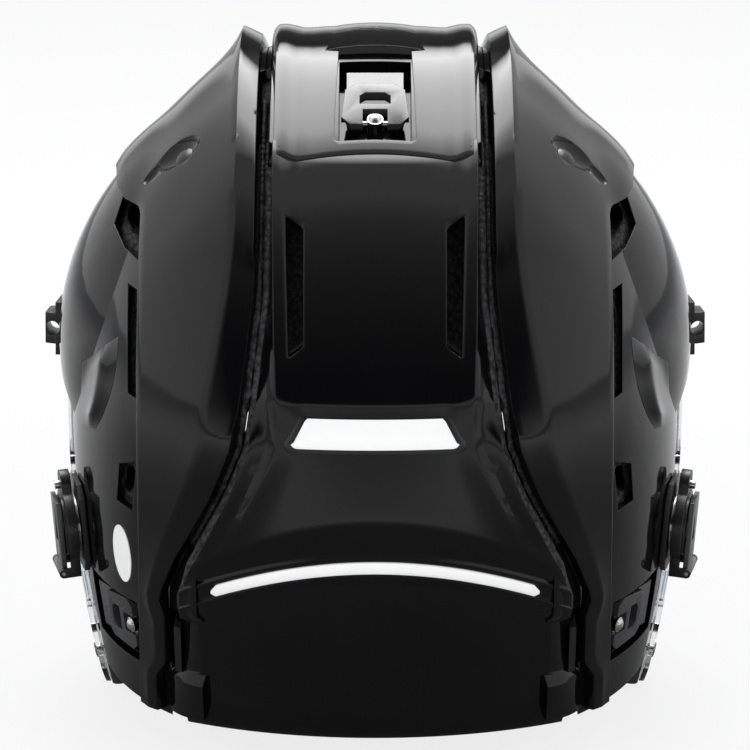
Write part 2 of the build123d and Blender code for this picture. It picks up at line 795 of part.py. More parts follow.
def clip_bracket():
    seat_gap = fit_gap
    body = plate([(bracket_half_width, -bracket_half_height + bracket_corner),
                  (bracket_half_width, bracket_half_height - bracket_corner),
                  (bracket_half_width - bracket_corner, bracket_half_height),
                  (-bracket_half_width + bracket_corner, bracket_half_height),
                  (-bracket_half_width, bracket_half_height - bracket_corner),
                  (-bracket_half_width, -bracket_half_height + bracket_corner),
                  (-bracket_half_width + bracket_corner, -bracket_half_height),
                  (bracket_half_width - bracket_corner, -bracket_half_height)],
                 -bracket_wall, bracket_wall)
    body += rod(boss_radius, 0, boss_top)
    body = clip_plane.location * (body - rod(clip_screw_radius + screw_play, -reach / 8, reach / 8))
    return body - grown_form(shell_form, seat_gap)


def clip_washers():
    ring = rod(washer_radius, 0, washer_wall) - rod(clip_screw_radius + screw_play, -reach / 8,
                                                   reach / 8)
    return [clip_plane.location * (Pos(0, 0, low) * ring) for low in (washer_low, washer_high)]


def clip_disc():
    disc = rod(disc_radius, disc_low, disc_top)
    disc += rod(disc_rim_radius, disc_top, disc_top + disc_rim_wall)
    disc += block((-arm_half_width, 0, disc_low), (arm_half_width, arm_top - arm_half_width, disc_top))
    disc += Pos(0, arm_top - arm_half_width, 0) * rod(arm_half_width, disc_low, disc_top)
    disc -= rod(clip_screw_radius + screw_play, -reach / 8, reach / 8)
    disc -= rod(clip_head_radius + screw_play, disc_top + disc_rim_wall - clip_head_wall - fit_gap,
                reach / 8)
    disc -= Pos(0, arm_top - arm_half_width, 0) * rod(arm_pin_radius + post_fit, -reach / 8,
                                                      reach / 8)
    ears = Pos(0, -flap_foot, flap_low + flap_hinge_radius)
    for side in (-1, 1):
        ear = cross_rod(flap_hinge_radius, 0, flap_wall)
        ear += block((0, -flap_hinge_radius, -flap_low - flap_hinge_radius + disc_low),
                     (flap_wall, flap_hinge_radius, 0))
        ear += block((0, 0, -flap_low - flap_hinge_radius + disc_low),
                     (flap_wall, flap_foot / 2, -flap_low - flap_hinge_radius + disc_top))
        outside = flap_half_width + screw_play
        disc += ears * (Pos(outside if side > 0 else -outside - flap_wall, 0, 0) * ear)
    disc -= ears * cross_rod(flap_pin_radius + post_fit, -reach / 8, reach / 8)
    return clip_plane.location * disc


def clip_pin():
    pin = rod(arm_pin_radius, disc_low, disc_top + arm_pin_out)
    return clip_plane.location * (Pos(0, arm_top - arm_half_width, 0) * pin)


def clip_screw():
    head_low = disc_top + disc_rim_wall - clip_head_wall - fit_gap / 2
    screw = rod(clip_head_radius, head_low, head_low + clip_head_wall)
    screw += rod(clip_screw_radius, -2 * shell_wall, head_low)
    return clip_plane.location * screw


def clip_flap():
    flap = block((-flap_half_width, -flap_foot, flap_low),
                 (flap_half_width, flap_top, flap_low + flap_wall))
    flap += Pos(0, -flap_foot, flap_low + flap_hinge_radius) * cross_rod(
        flap_hinge_radius, -flap_half_width, flap_half_width)
    flap -= plate([(-flap_window_half_width, -flap_window_top),
                   (flap_window_half_width, -flap_window_top), (0, flap_window_top)],
                  -overrun, reach / 8)
    flap -= Pos(0, -flap_foot, flap_low + flap_hinge_radius) * cross_rod(
        flap_pin_radius + axle_play, -reach / 8, reach / 8)
    return clip_plane.location * flap


def flap_pin():
    ends = flap_half_width + screw_play + flap_wall
    pin = cross_rod(flap_pin_radius, -ends, ends)
    return clip_plane.location * (Pos(0, -flap_foot, flap_low + flap_hinge_radius) * pin)


def temple_clip():
    """Snap loop that stands out from the temple, open where the cage wire goes in."""
    body = block((-temple_half_width, -temple_half_height, -temple_plate_wall),
                 (temple_half_width, temple_half_height, temple_plate_wall))
    arch = Rot(90, 0, 90) * scale(Cylinder(1, 1), by=(temple_half_height, temple_reach,
                                                      2 * temple_half_width))
    body += arch & block((-temple_half_width, -temple_half_height, 0),
                         (temple_half_width, temple_half_height, temple_reach))
    body -= Pos(0, 0, temple_slot_radius) * cross_rod(temple_slot_radius - fit_gap, -reach / 8,
                                                      reach / 8)
    return temple_plane.location * body - head_form(fit_gap)


def strap_fold():
    """End of a strap folded back on itself inside the guard, with the fold towards the rear."""
    inner = fold_radius - fold_wall
    tube = Cylinder(fold_radius, fold_height) - Cylinder(inner, fold_height + overrun)
    tube &= block((0, -fold_radius, -fold_height), (fold_radius, fold_radius, fold_height))
    legs = block((-fold_length - fold_tail, -fold_radius, -fold_height / 2),
                 (0, fold_radius, fold_height / 2))
    legs -= block((-fold_length - fold_tail - overrun, -inner, -fold_height),
                  (0, inner, fold_height))
    strap = Pos(fold_length, 0, -fold_gap - fold_radius) * (Rot(90, 0, 0) * (tube + legs))
    return fold_plane.location * (strap - rod(fold_rivet_radius + screw_play, -reach / 8, reach / 8))


def fold_rivet():
    low = -fold_gap - 2 * fold_radius - screw_play
    rivet = rod(fold_rivet_radius, low, guard_wall)
    rivet += rod(fold_rivet_head, low - fold_rivet_wall, low)
    rivet += rod(fold_rivet_head, guard_wall, guard_wall + fold_rivet_wall)
    return fold_plane.location * rivet


def size_label():
    x, z = label_share
    plane = seat_behind(shell_form, x * half_width, z * crown_height)
    oval = scale(Cylinder(1, 1), by=(label_half_width, label_half_height, 2 * foam_wall))
    sheet = skin(shell_form, label_wall + fit_gap / 3, fit_gap / 3)
    return sheet & (plane.location * oval)


# Rear half

def stripe_outline(grow):
    """Arched stripe seen from behind, thickened by grow on every side."""
    half = stripe_half_share * half_width + grow
    top = stripe_top_share * crown_height + grow
    fall = (stripe_top_share - stripe_end_share) * crown_height
    height = stripe_height + 2 * grow
    upper = ThreePointArc((-half, 0, top - fall), (0, 0, top), (half, 0, top - fall))
    lower = ThreePointArc((half, 0, top - fall - height), (0, 0, top - height),
                          (-half, 0, top - fall - height))
    ends = [Line(upper @ 1, lower @ 0), Line(lower @ 1, upper @ 0)]
    face = make_face([upper, ends[0], lower, ends[1]])
    return extrude(face, amount=reach, dir=(0, 1, 0))


def plate_prism(grow):
    edge = [(x * half_width + (grow if x > 0 else -grow),
             z * crown_height + (grow if z > plate_shares[2][1] else -grow))
            for x, z in plate_shares]
    face = make_face(Polyline(*[(x, 0, z) for x, z in edge], close=True))
    return extrude(face, amount=reach, dir=(0, 1, 0))


def rear_shell():
    shell = skin(band_form, 0, -shell_wall) & behind_prism(both_sides(band_edge_shares))
    rib = behind_prism(band_rib_shares)
    shell += skin(band_form, rib_height, -shell_wall) & (rib + mirrored(rib))
    vents = behind_prism(band_vent_shares)
    shell -= vents + mirrored(vents)
    shell -= skin(band_form, overrun, -plate_recess) & plate_prism(screw_play)
    return shell - (skin(band_form, overrun, -stripe_recess) & stripe_outline(screw_play))


def name_plate():
    low = -plate_recess + screw_play
    return skin(band_form, low + plate_wall, low) & plate_prism(0)


def rear_stripe():
    low = -stripe_recess + screw_play
    return skin(band_form, low + stripe_wall, low) & stripe_outline(0)


def rear_foam():
    blank = grown_form(band_form, -shell_wall - fit_gap)
    blank -= grown_form(shell_form, -shell_wall - fit_gap - foam_wall)
    near = rear_split_share * half_length + foam_split_gap
    piece = blank & behind_prism(both_sides(foam_edge_shares), near=near)
    clear = fit_gap / 3
    room = block((-track_half_width - clear, -reach / 4, track_top - track_wall - clear),
                 (track_half_width + clear, reach / 4, track_top + clear))
    piece -= top_latch_plane.location * room
    piece -= top_latch_plane.location * latch_pocket(window_half_width, window_tail, window_head,
                                                     tray_floor + tray_wall + fit_gap)
    nut_room = block((-nut_radius - foam_play, -nut_radius - foam_play, -reach / 4),
                     (nut_radius + foam_play, nut_radius + foam_play + size_travel, 0))
    piece -= top_latch_plane.location * nut_room
    tongue_room = skin(band_form, overrun, -tongue_wall - tongue_clearance)
    tongue_room &= behind_prism(((-1.0, seam_share), (1.0, seam_share), (1.0, 1.2), (-1.0, 1.2)))
    piece -= tongue_room
    vents = behind_prism(band_vent_shares)
    return piece - (skin(band_form, overrun, -shell_wall - band_vent_pocket)
                    & (vents + mirrored(vents)))


def rear_pad():
    inset_share = pad_inset / half_width
    outline = [(x - inset_share if x else 0, z) for x, z in foam_edge_shares]
    near = rear_split_share * half_length + pad_inset + foam_split_gap
    low = foam_edge_shares[-1][1] * crown_height + pad_inset
    sheet = pad((-half_width, near, low), (half_width, reach / 2, waist_height + bulge_rise / 2))
    return sheet & behind_prism(both_sides(outline))


def build_front_half():
    save("front_shell", front_shell())
    save_pair("side_panel", side_panel())
    screw = domed_screw(shoulder_plane, panel_head_radius, panel_head_wall, panel_screw_radius,
                        panel_screw_length)
    save("panel_screws", screw, mirrored(screw))
    blank, cuts = liner_blank(), foam_cutters()
    save("front_foam", front_foam(blank, cuts))
    save("crown_foam", crown_foam(blank))
    save_pair("side_foam", side_foam(blank, cuts))
    save("brow_pad", brow_pad())
    save("crown_pad", crown_pad())
    save_pair("side_pad", side_pad())
    save_pair("ear_guard", ear_guard())
    screws = guard_screws()
    save("ear_guard_screws", *screws, *[mirrored(s) for s in screws])
    inserts = [visor_insert(plane) for plane in insert_planes()]
    save("visor_inserts", *inserts, *[mirrored(s) for s in inserts])
    save_pair("temple_clip", temple_clip())
    save_pair("strap_fold", strap_fold())
    rivet = fold_rivet()
    save("strap_rivets", rivet, mirrored(rivet))
    save("size_label", size_label())


def build_clips():
    save_pair("clip_bracket", clip_bracket())
    washers = clip_washers()
    save("clip_washers", *washers, *[mirrored(s) for s in washers])
    save_pair("clip_disc", clip_disc())
    save_pair("clip_pin", clip_pin())
    save_pair("clip_screw", clip_screw())
    save_pair("clip_flap", clip_flap())
    save_pair("flap_pin", flap_pin())


def build_latches():
    top, side = top_latch_plane.location, side_latch_plane.location
    tray = top * latch_tray(window_half_width, window_tail, window_head)
    save("top_latch_tray", tray & grown_form(band_form, -tongue_wall - fit_gap / 3))
    save("top_latch_lever", top * latch_lever())
    save("top_latch_axle", top * latch_axle())
    save("top_latch_post", top * latch_post(stem_foot))
    save("top_latch_nut", top * latch_nut(nut_top))
    side_tray = side * latch_tray(side_window_half_width, side_window_tail, side_window_head)
    beside_track = block((side_track_inner + track_wall + fit_gap, -reach / 2, -reach / 4),
                         (reach / 2, reach / 2, reach))
    side_tray &= grown_form(shell_form, -shell_wall - fit_gap / 3)
    save_pair("side_latch_tray", side_tray & beside_track)
    save_pair("side_latch_lever", side * latch_lever())
    axle = side * latch_axle()
    save("side_latch_axles", axle, mirrored(axle))
    post = side * latch_post(-tray_floor - tray_wall)
    save("side_latch_posts", post, mirrored(post))
    lock = side_lock()
    save("side_lock_pins", lock, mirrored(lock))


def build_rear_half():
    save("rear_shell", rear_shell())
    save("name_plate", name_plate())
    save("rear_stripe", rear_stripe())
    save("rear_foam", rear_foam())
    save("rear_pad", rear_pad())
    save("top_track", top_track())
    save_pair("side_track", side_track())


def report_motion():
    """Prints where the joints are, for the record."""
    for name, plane, height in (("top latch", top_latch_plane, hinge_height),
                                ("side latch", side_latch_plane, hinge_height),
                                ("clip turn", clip_plane, 0),
                                ("fold", fold_plane, 0)):
        point = (plane.location * Pos(0, 0, height)).position
        print(name, "point", point, "x", plane.x_dir, "z", plane.z_dir)
    point = (clip_plane.location * Pos(0, -flap_foot, flap_low + flap_hinge_radius)).position
    print("flap point", point)
    print("slide", slide_direction)
    for plane in insert_planes():
        print("insert", plane.origin, plane.z_dir)


build_front_half()
build_clips()
build_latches()
build_rear_half()
report_motion()
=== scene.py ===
"""Dresses the packed ice hockey helmet: shells, liner, latches, clips, guards and studio."""
import json
from collections import namedtuple
from math import copysign, cos, pi, radians, sin, sqrt

import bpy
from mathutils import Matrix, Vector

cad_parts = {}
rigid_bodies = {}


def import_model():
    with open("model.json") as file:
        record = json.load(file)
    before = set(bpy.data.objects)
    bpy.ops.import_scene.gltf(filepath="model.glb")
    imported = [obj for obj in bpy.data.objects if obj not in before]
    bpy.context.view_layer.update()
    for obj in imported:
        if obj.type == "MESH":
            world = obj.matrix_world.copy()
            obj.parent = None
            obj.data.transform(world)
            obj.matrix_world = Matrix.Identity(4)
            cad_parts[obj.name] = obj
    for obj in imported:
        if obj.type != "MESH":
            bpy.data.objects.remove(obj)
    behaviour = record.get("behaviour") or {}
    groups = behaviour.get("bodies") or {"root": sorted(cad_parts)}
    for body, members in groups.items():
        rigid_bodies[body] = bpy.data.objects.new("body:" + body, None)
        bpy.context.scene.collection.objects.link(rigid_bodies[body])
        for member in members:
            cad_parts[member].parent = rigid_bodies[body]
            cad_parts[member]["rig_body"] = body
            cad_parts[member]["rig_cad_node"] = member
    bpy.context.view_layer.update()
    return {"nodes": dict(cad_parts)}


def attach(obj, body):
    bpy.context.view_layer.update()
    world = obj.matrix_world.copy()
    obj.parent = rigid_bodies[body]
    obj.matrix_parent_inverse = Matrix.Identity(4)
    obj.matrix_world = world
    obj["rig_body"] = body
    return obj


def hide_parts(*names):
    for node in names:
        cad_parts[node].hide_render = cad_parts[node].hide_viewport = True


for startup_object in list(bpy.data.objects):
    bpy.data.objects.remove(startup_object)
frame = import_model()

bl_info = {
    "name": "Ice Hockey Helmet",
    "version": (1, 0, 0),
    "blender": (4, 5, 0),
    "location": "3D View > Sidebar > Helmet",
    "description": "Builds the moulded shells, liner, latches and studio of a youth helmet",
    "category": "Add Mesh",
}

MM = 0.001
# Height in millimetres of the part's own zero over the row frame's floor
LIFT = 11.088
SIDES = ("left", "right")

Form = namedtuple("Form", "half_width half_length rise drop height")
SHELL = Form(95.0, 115.0, 121.0, 190.0, 77.0)
TEMPLE = Form(99.0, 85.0, 88.0, 88.0, 100.0)
BAND = Form(130.0, 115.0, 118.5, 135.0, 77.0)


# Sizes and colours that a user would change

class HelmetSizes(bpy.types.PropertyGroup):
    rib_height: bpy.props.FloatProperty(
        name="Rib height", description="How far the ribs stand over the middle band",
        default=2.3 * MM, min=0.0, unit="LENGTH")
    edge_radius: bpy.props.FloatProperty(
        name="Edge radius", description="Rounding of the moulded edges",
        default=0.45 * MM, min=0.0, unit="LENGTH")
    bead_size: bpy.props.FloatProperty(
        name="Bead size", description="Size of the beads in the liner foam",
        default=1.7 * MM, min=0.0, unit="LENGTH")
    camera_distance: bpy.props.FloatProperty(
        name="Camera distance", description="Camera to the middle of the helmet",
        default=1.15, min=0.1, unit="LENGTH")


class HelmetColours(bpy.types.PropertyGroup):
    shell: bpy.props.FloatVectorProperty(
        name="Shell", description="Gloss black moulding", subtype="COLOR", size=3,
        default=(0.002, 0.002, 0.0023), min=0.0, max=1.0)
    liner: bpy.props.FloatVectorProperty(
        name="Liner foam", description="Bead foam blocks", subtype="COLOR", size=3,
        default=(0.035, 0.035, 0.037), min=0.0, max=1.0)
    pads: bpy.props.FloatVectorProperty(
        name="Pads", description="Brushed cloth over the comfort pads", subtype="COLOR", size=3,
        default=(0.03, 0.03, 0.033), min=0.0, max=1.0)
    trim: bpy.props.FloatVectorProperty(
        name="Trim", description="White stripe, plate and label", subtype="COLOR", size=3,
        default=(0.78, 0.78, 0.79), min=0.0, max=1.0)
    steel: bpy.props.FloatVectorProperty(
        name="Steel", description="Posts, axles, washers and screws", subtype="COLOR", size=3,
        default=(0.62, 0.61, 0.59), min=0.0, max=1.0)


def sizes():
    return bpy.context.scene.helmet_sizes


def colours():
    return bpy.context.scene.helmet_colours


# Places on the forms, in the part's own millimetres

def steps(low, high, count):
    return [low + (high - low) * i / count for i in range(count + 1)]


def between(table, at):
    """Value at a place in a table of (place, value) pairs, in rising order of place."""
    if at <= table[0][0]:
        return table[0][1]
    for (a, low), (b, high) in zip(table, table[1:]):
        if at <= b:
            return low + (high - low) * (at - a) / (b - a)
    return table[-1][1]


def seat(form, x, z, lift=0.0):
    """Point behind the head on a form at (x, z), lifted along the form's normal."""
    up = form.rise if z > form.height else form.drop
    rest = max(1 - (x / form.half_width) ** 2 - ((z - form.height) / up) ** 2, 0.0)
    y = form.half_length * sqrt(rest)
    out = Vector((x / form.half_width ** 2, y / form.half_length ** 2,
                  (z - form.height) / up ** 2)).normalized()
    return Vector((x, y, z)) + out * lift


def head_point(x, turn):
    """Point on the shell or the fuller temple, whichever stands out. turn runs over the crown."""
    up = SHELL.rise if turn > 0 else SHELL.drop
    ray_y, ray_z = SHELL.half_length * cos(turn), up * sin(turn)
    across = sqrt(max(1 - (x / SHELL.half_width) ** 2, 0.0))
    reach = across
    a = (ray_y / TEMPLE.half_length) ** 2 + (ray_z / TEMPLE.rise) ** 2
    b = 2 * ray_z * (SHELL.height - TEMPLE.height) / TEMPLE.rise ** 2
    c = ((SHELL.height - TEMPLE.height) / TEMPLE.rise) ** 2
    c += (x / TEMPLE.half_width) ** 2 - 1
    inside = b * b - 4 * a * c
    if inside > 0 and turn > 0:
        temple = (-b + sqrt(inside)) / (2 * a)
        blend = 0.012
        gap = max(blend - abs(across - temple), 0.0) / blend
        reach = max(across, temple) + gap * gap * blend / 4
    return Vector((x, reach * ray_y, SHELL.height + reach * ray_z))


def head_seat(x, turn, lift=0.0):
    small = 0.05
    slope = 0.0005
    here = head_point(x, turn)
    along_x = head_point(x + small, turn) - head_point(x - small, turn)
    along_turn = head_point(x, turn + slope) - head_point(x, turn - slope)
    return here + along_turn.cross(along_x).normalized() * lift


def placed(point):
    """Part millimetres to the row frame's metres."""
    return Vector((point[0], point[1], point[2] + LIFT)) * MM


# Mesh tools

def only(*objects):
    if bpy.context.object and bpy.context.object.mode == "EDIT":
        bpy.ops.object.mode_set(mode="OBJECT")
    bpy.ops.object.select_all(action="DESELECT")
    for obj in objects:
        obj.select_set(True)
    bpy.context.view_layer.objects.active = objects[0]


def added(add, **settings):
    """New object from an add operator, selected on its own."""
    bpy.ops.object.select_all(action="DESELECT")
    add(**settings)
    return bpy.context.object


def editing(piece):
    """Opens a piece in edit mode with all of it selected."""
    only(piece)
    bpy.ops.object.mode_set(mode="EDIT")
    bpy.ops.mesh.select_all(action="SELECT")


def formed_wall(name, columns, rows, outer, inner):
    """Closed wall: a grid set on its outer surface, extruded and set on its inner one."""
    piece = added(bpy.ops.mesh.primitive_grid_add, x_subdivisions=columns, y_subdivisions=rows,
                  size=1)
    piece.name = name
    mesh = piece.data
    under = mesh.attributes.new("under", "FLOAT_VECTOR", "POINT")
    for i, vertex in enumerate(mesh.vertices):
        u, v = round((vertex.co.x + 0.5) * columns), round((vertex.co.y + 0.5) * rows)
        under.data[i].vector = placed(inner(u, v))
        vertex.co = placed(outer(u, v))
    only(piece)
    bpy.ops.object.mode_set(mode="EDIT")
    bpy.ops.mesh.select_mode(type="FACE")
    bpy.ops.mesh.select_all(action="SELECT")
    bpy.ops.mesh.extrude_region_move()
    bpy.ops.object.mode_set(mode="OBJECT")
    places = mesh.attributes["under"]
    for i, vertex in enumerate(mesh.vertices):
        if vertex.select:
            vertex.co = places.data[i].vector
    mesh.attributes.remove(mesh.attributes["under"])
    outwards(piece)
    return piece


def outwards(piece):
    editing(piece)
    bpy.ops.mesh.remove_doubles(threshold=0.00001)
    bpy.ops.mesh.normals_make_consistent(inside=False)
    bpy.ops.object.mode_set(mode="OBJECT")


def prism(corners, push, radius=0.0):
    """Cutting prism over corners in part millimetres, pushed along a vector."""
    cutter = added(bpy.ops.mesh.primitive_circle_add, vertices=len(corners), fill_type="NGON")
    for vertex, corner in zip(cutter.data.vertices, corners):
        vertex.co = placed(corner)
    editing(cutter)
    if radius:
        bpy.ops.mesh.bevel(offset=radius * MM, segments=4, affect="VERTICES")
        bpy.ops.mesh.select_all(action="SELECT")
    bpy.ops.mesh.extrude_region_move(
        TRANSFORM_OT_translate={"value": tuple(Vector(push) * MM)})
    bpy.ops.object.mode_set(mode="OBJECT")
    outwards(cutter)
    return cutter


def both(corners):
    """The corners of an outline on the left, then on the right, for a pair of cutters."""
    return [corners, [(-x, *rest) for x, *rest in corners]]


def behind(outline, near=0.0):
    """Outline seen from behind, at the depth near."""
    return [(x, near, z) for x, z in outline]


def joined(pieces):
    only(*pieces)
    if len(pieces) > 1:
        bpy.ops.object.join()
    return bpy.context.object


def cut(piece, *cutters, operation="DIFFERENCE"):
    tool = joined(list(cutters))
    boolean = piece.modifiers.new("cut", "BOOLEAN")
    boolean.operation = operation
    boolean.solver = "EXACT"
    boolean.use_self = len(cutters) > 1
    boolean.object = tool
    only(piece)
    bpy.ops.object.modifier_apply(modifier=boolean.name)
    bpy.data.objects.remove(tool)


def rounded(piece, width, angle=50.0, segments=2):
    """Rounds a piece's sharp edges."""
    bevel = piece.modifiers.new("edges", "BEVEL")
    bevel.width = width
    bevel.segments = segments
    bevel.limit_method = "ANGLE"
    bevel.angle_limit = radians(angle)
    bevel.use_clamp_overlap = True
    only(piece)
    bpy.ops.object.modifier_apply(modifier=bevel.name)


def shaded(piece, angle=35.0):
    only(piece)
    bpy.ops.object.shade_smooth_by_angle(angle=radians(angle))


def mirrored(piece, name):
    """Own copy of a left piece on the right side."""
    only(piece)
    bpy.ops.object.duplicate()
    twin = bpy.context.object
    twin.name = name
    for vertex in twin.data.vertices:
        vertex.co.x = -vertex.co.x
    editing(twin)
    bpy.ops.mesh.flip_normals()
    bpy.ops.object.mode_set(mode="OBJECT")
    return twin


def dressed(piece, body, finish, slot, *nodes):
    """Gives a finished piece its material and its body, and hides the nodes it stands for."""
    piece.data.materials.clear()
    piece.data.materials.append(finish)
    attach(piece, body)
    if nodes:
        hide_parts(*nodes)


def copy_of(node, name):
    """Own merged copy of a CAD node's mesh."""
    only(frame["nodes"][node])
    bpy.ops.object.duplicate()
    piece = bpy.context.object
    piece.name = name
    piece.parent = None
    piece.matrix_world = Matrix.Identity(4)
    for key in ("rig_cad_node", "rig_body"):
        if key in piece:
            del piece[key]
    piece.data = piece.data.copy()
    bpy.ops.mesh.customdata_custom_splitnormals_clear()
    editing(piece)
    bpy.ops.mesh.remove_doubles(threshold=0.000002)
    bpy.ops.object.mode_set(mode="OBJECT")
    return piece


# Materials

def blank_material(name):
    found = bpy.data.materials.get(name)
    if found:
        return found, None
    material = bpy.data.materials.new(name)
    material.use_nodes = True
    return material, material.node_tree.nodes["Principled BSDF"]


def node(tree, kind, **values):
    made = tree.nodes.new(kind)
    for key, value in values.items():
        if key in made.inputs:
            made.inputs[key].default_value = value
        else:
            setattr(made, key, value)
    return made


def object_noise(tree, scale, detail=2.0, stretch=(1.0, 1.0, 1.0)):
    where = node(tree, "ShaderNodeTexCoord")
    mapping = node(tree, "ShaderNodeMapping", Scale=stretch)
    noise = node(tree, "ShaderNodeTexNoise", Scale=scale, Detail=detail)
    tree.links.new(where.outputs["Object"], mapping.inputs["Vector"])
    tree.links.new(mapping.outputs["Vector"], noise.inputs["Vector"])
    return noise.outputs["Fac"]


def ramp(tree, fac, low, high, dark, light):
    made = node(tree, "ShaderNodeMapRange", **{"From Min": low, "From Max": high,
                                               "To Min": dark, "To Max": light})
    tree.links.new(fac, made.inputs["Value"])
    return made.outputs["Result"]


def tinted(tree, fac, dark, light):
    mix = node(tree, "ShaderNodeMix", data_type="RGBA")
    mix.inputs[6].default_value = (*dark, 1.0)
    mix.inputs[7].default_value = (*light, 1.0)
    tree.links.new(fac, mix.inputs[0])
    return mix.outputs[2]


def relief(tree, shader, height, distance, strength=1.0, edge=0.0):
    """Bump from a height, over edges softened by a radius where one is given."""
    bump = node(tree, "ShaderNodeBump", Distance=distance, Strength=strength)
    tree.links.new(height, bump.inputs["Height"])
    if edge:
        soft = node(tree, "ShaderNodeBevel", samples=4)
        soft.inputs["Radius"].default_value = edge
        tree.links.new(soft.outputs["Normal"], bump.inputs["Normal"])
    tree.links.new(bump.outputs["Normal"], shader.inputs["Normal"])


def shade(colour, share):
    return tuple(min(channel * share, 1.0) for channel in colour)


def largest(tree, first, second):
    made = node(tree, "ShaderNodeMath", operation="MAXIMUM")
    tree.links.new(first, made.inputs[0])
    tree.links.new(second, made.inputs[1])
    return made.outputs[0]


def surface_mix(tree, share, first, second, end):
    """Two shaders mixed by a share into the surface of the end node."""
    mix = node(tree, "ShaderNodeMixShader")
    for socket, source in enumerate((share, first.outputs[0], second.outputs[0])):
        tree.links.new(source, mix.inputs[socket])
    tree.links.new(mix.outputs[0], tree.nodes[end].inputs["Surface"])


def gloss_finish():
    """Polished black moulding: faint orange peel, slow waves and a few dull patches."""
    material, shader = blank_material("gloss_moulding")
    if shader is None:
        return material
    tree = material.node_tree
    base = tuple(colours().shell)
    tree.links.new(tinted(tree, object_noise(tree, 40.0), base, shade(base, 1.6)),
                   shader.inputs["Base Color"])
    tree.links.new(ramp(tree, object_noise(tree, 30.0, 4.0), 0.3, 0.75, 0.045, 0.11),
                   shader.inputs["Roughness"])
    shader.inputs["IOR"].default_value = 1.37
    relief(tree, shader, object_noise(tree, 260.0, 1.0), 0.00002, 0.35, sizes().edge_radius)
    return material


def bead_finish():
    """Moulded bead foam: welded beads with pits between them, the pits darkened in colour as
    painted shade.
    """
    material, shader = blank_material("bead_foam")
    if shader is None:
        return material
    tree = material.node_tree
    base = tuple(colours().liner)
    where = node(tree, "ShaderNodeTexCoord")
    beads = node(tree, "ShaderNodeTexVoronoi", Scale=1 / sizes().bead_size)
    tree.links.new(where.outputs["Object"], beads.inputs["Vector"])
    # Colour lighter on the beads and darker in the pits between them: painted shade
    tree.links.new(tinted(tree, ramp(tree, beads.outputs["Distance"], 0.25, 0.75, 0.0, 1.0),
                          shade(base, 1.35), shade(base, 0.35)), shader.inputs["Base Color"])
    shader.inputs["Roughness"].default_value = 0.82
    shader.inputs["Specular IOR Level"].default_value = 0.35
    relief(tree, shader, ramp(tree, beads.outputs["Distance"], 0.1, 0.8, 1.0, 0.0),
           0.0005, 0.9)
    return material


def pad_finish():
    """Brushed cloth laminated on soft foam."""
    material, shader = blank_material("brushed_cloth")
    if shader is None:
        return material
    tree = material.node_tree
    base = tuple(colours().pads)
    fibre = object_noise(tree, 900.0, 4.0, (1.0, 2.5, 1.0))
    tree.links.new(tinted(tree, fibre, shade(base, 0.55), shade(base, 1.6)),
                   shader.inputs["Base Color"])
    shader.inputs["Roughness"].default_value = 0.95
    shader.inputs["Sheen Weight"].default_value = 0.3
    shader.inputs["Sheen Roughness"].default_value = 0.5
    relief(tree, shader, fibre, 0.0003, 0.6)
    return material


def guard_finish():
    """Clear moulded plastic with fine wipe marks."""
    material, shader = blank_material("clear_plastic")
    if shader is None:
        return material
    tree = material.node_tree
    shader.inputs["Base Color"].default_value = (0.79, 0.81, 0.83, 1.0)
    shader.inputs["Transmission Weight"].default_value = 1.0
    shader.inputs["IOR"].default_value = 1.3
    marks = object_noise(tree, 120.0, 4.0, (1.0, 0.2, 3.0))
    tree.links.new(ramp(tree, marks, 0.35, 0.8, 0.03, 0.14), shader.inputs["Roughness"])
    relief(tree, shader, object_noise(tree, 60.0, 1.0), 0.00004, 0.3)
    return material


def moulded_finish(name, colour, low, high, grain=1400.0, metallic=0.0):
    """Grained plastic or painted metal, its roughness between low and high."""
    material, shader = blank_material(name)
    if shader is None:
        return material
    tree = material.node_tree
    spots = object_noise(tree, grain, 3.0)
    tree.links.new(tinted(tree, object_noise(tree, 70.0, 3.0), shade(colour, 0.75),
                          shade(colour, 1.25)), shader.inputs["Base Color"])
    tree.links.new(ramp(tree, spots, 0.3, 0.7, low, high), shader.inputs["Roughness"])
    shader.inputs["Metallic"].default_value = metallic
    relief(tree, shader, spots, 0.00003, 0.5, sizes().edge_radius * 0.6)
    return material


def matt_finish():
    return moulded_finish("satin_black", (0.008, 0.008, 0.009), 0.26, 0.42)


def lever_finish():
    return moulded_finish("lever_grey", (0.03, 0.03, 0.032), 0.16, 0.28, 700.0)


def steel_finish():
    return moulded_finish("turned_steel", tuple(colours().steel), 0.14, 0.32, 500.0, 1.0)


def trim_finish():
    return moulded_finish("white_trim", tuple(colours().trim), 0.28, 0.4, 600.0)


def webbing_finish():
    """Woven nylon tape: ribs along its own length and breadth, from the piece's UV map."""
    material, shader = blank_material("woven_tape")
    if shader is None:
        return material
    tree = material.node_tree
    where = node(tree, "ShaderNodeUVMap", uv_map="weave")
    across = node(tree, "ShaderNodeTexWave", Scale=0.5, bands_direction="X")
    along = node(tree, "ShaderNodeTexWave", Scale=0.5, bands_direction="Y")
    weave = node(tree, "ShaderNodeMath", operation="MULTIPLY")
    for wave, socket in ((across, 0), (along, 1)):
        tree.links.new(where.outputs["UV"], wave.inputs["Vector"])
        tree.links.new(wave.outputs["Fac"], weave.inputs[socket])
    tree.links.new(tinted(tree, weave.outputs[0], (0.014, 0.014, 0.015), (0.05, 0.05, 0.052)),
                   shader.inputs["Base Color"])
    shader.inputs["Roughness"].default_value = 0.85
    relief(tree, shader, weave.outputs[0], 0.0003, 0.8)
    return material


# The middle band

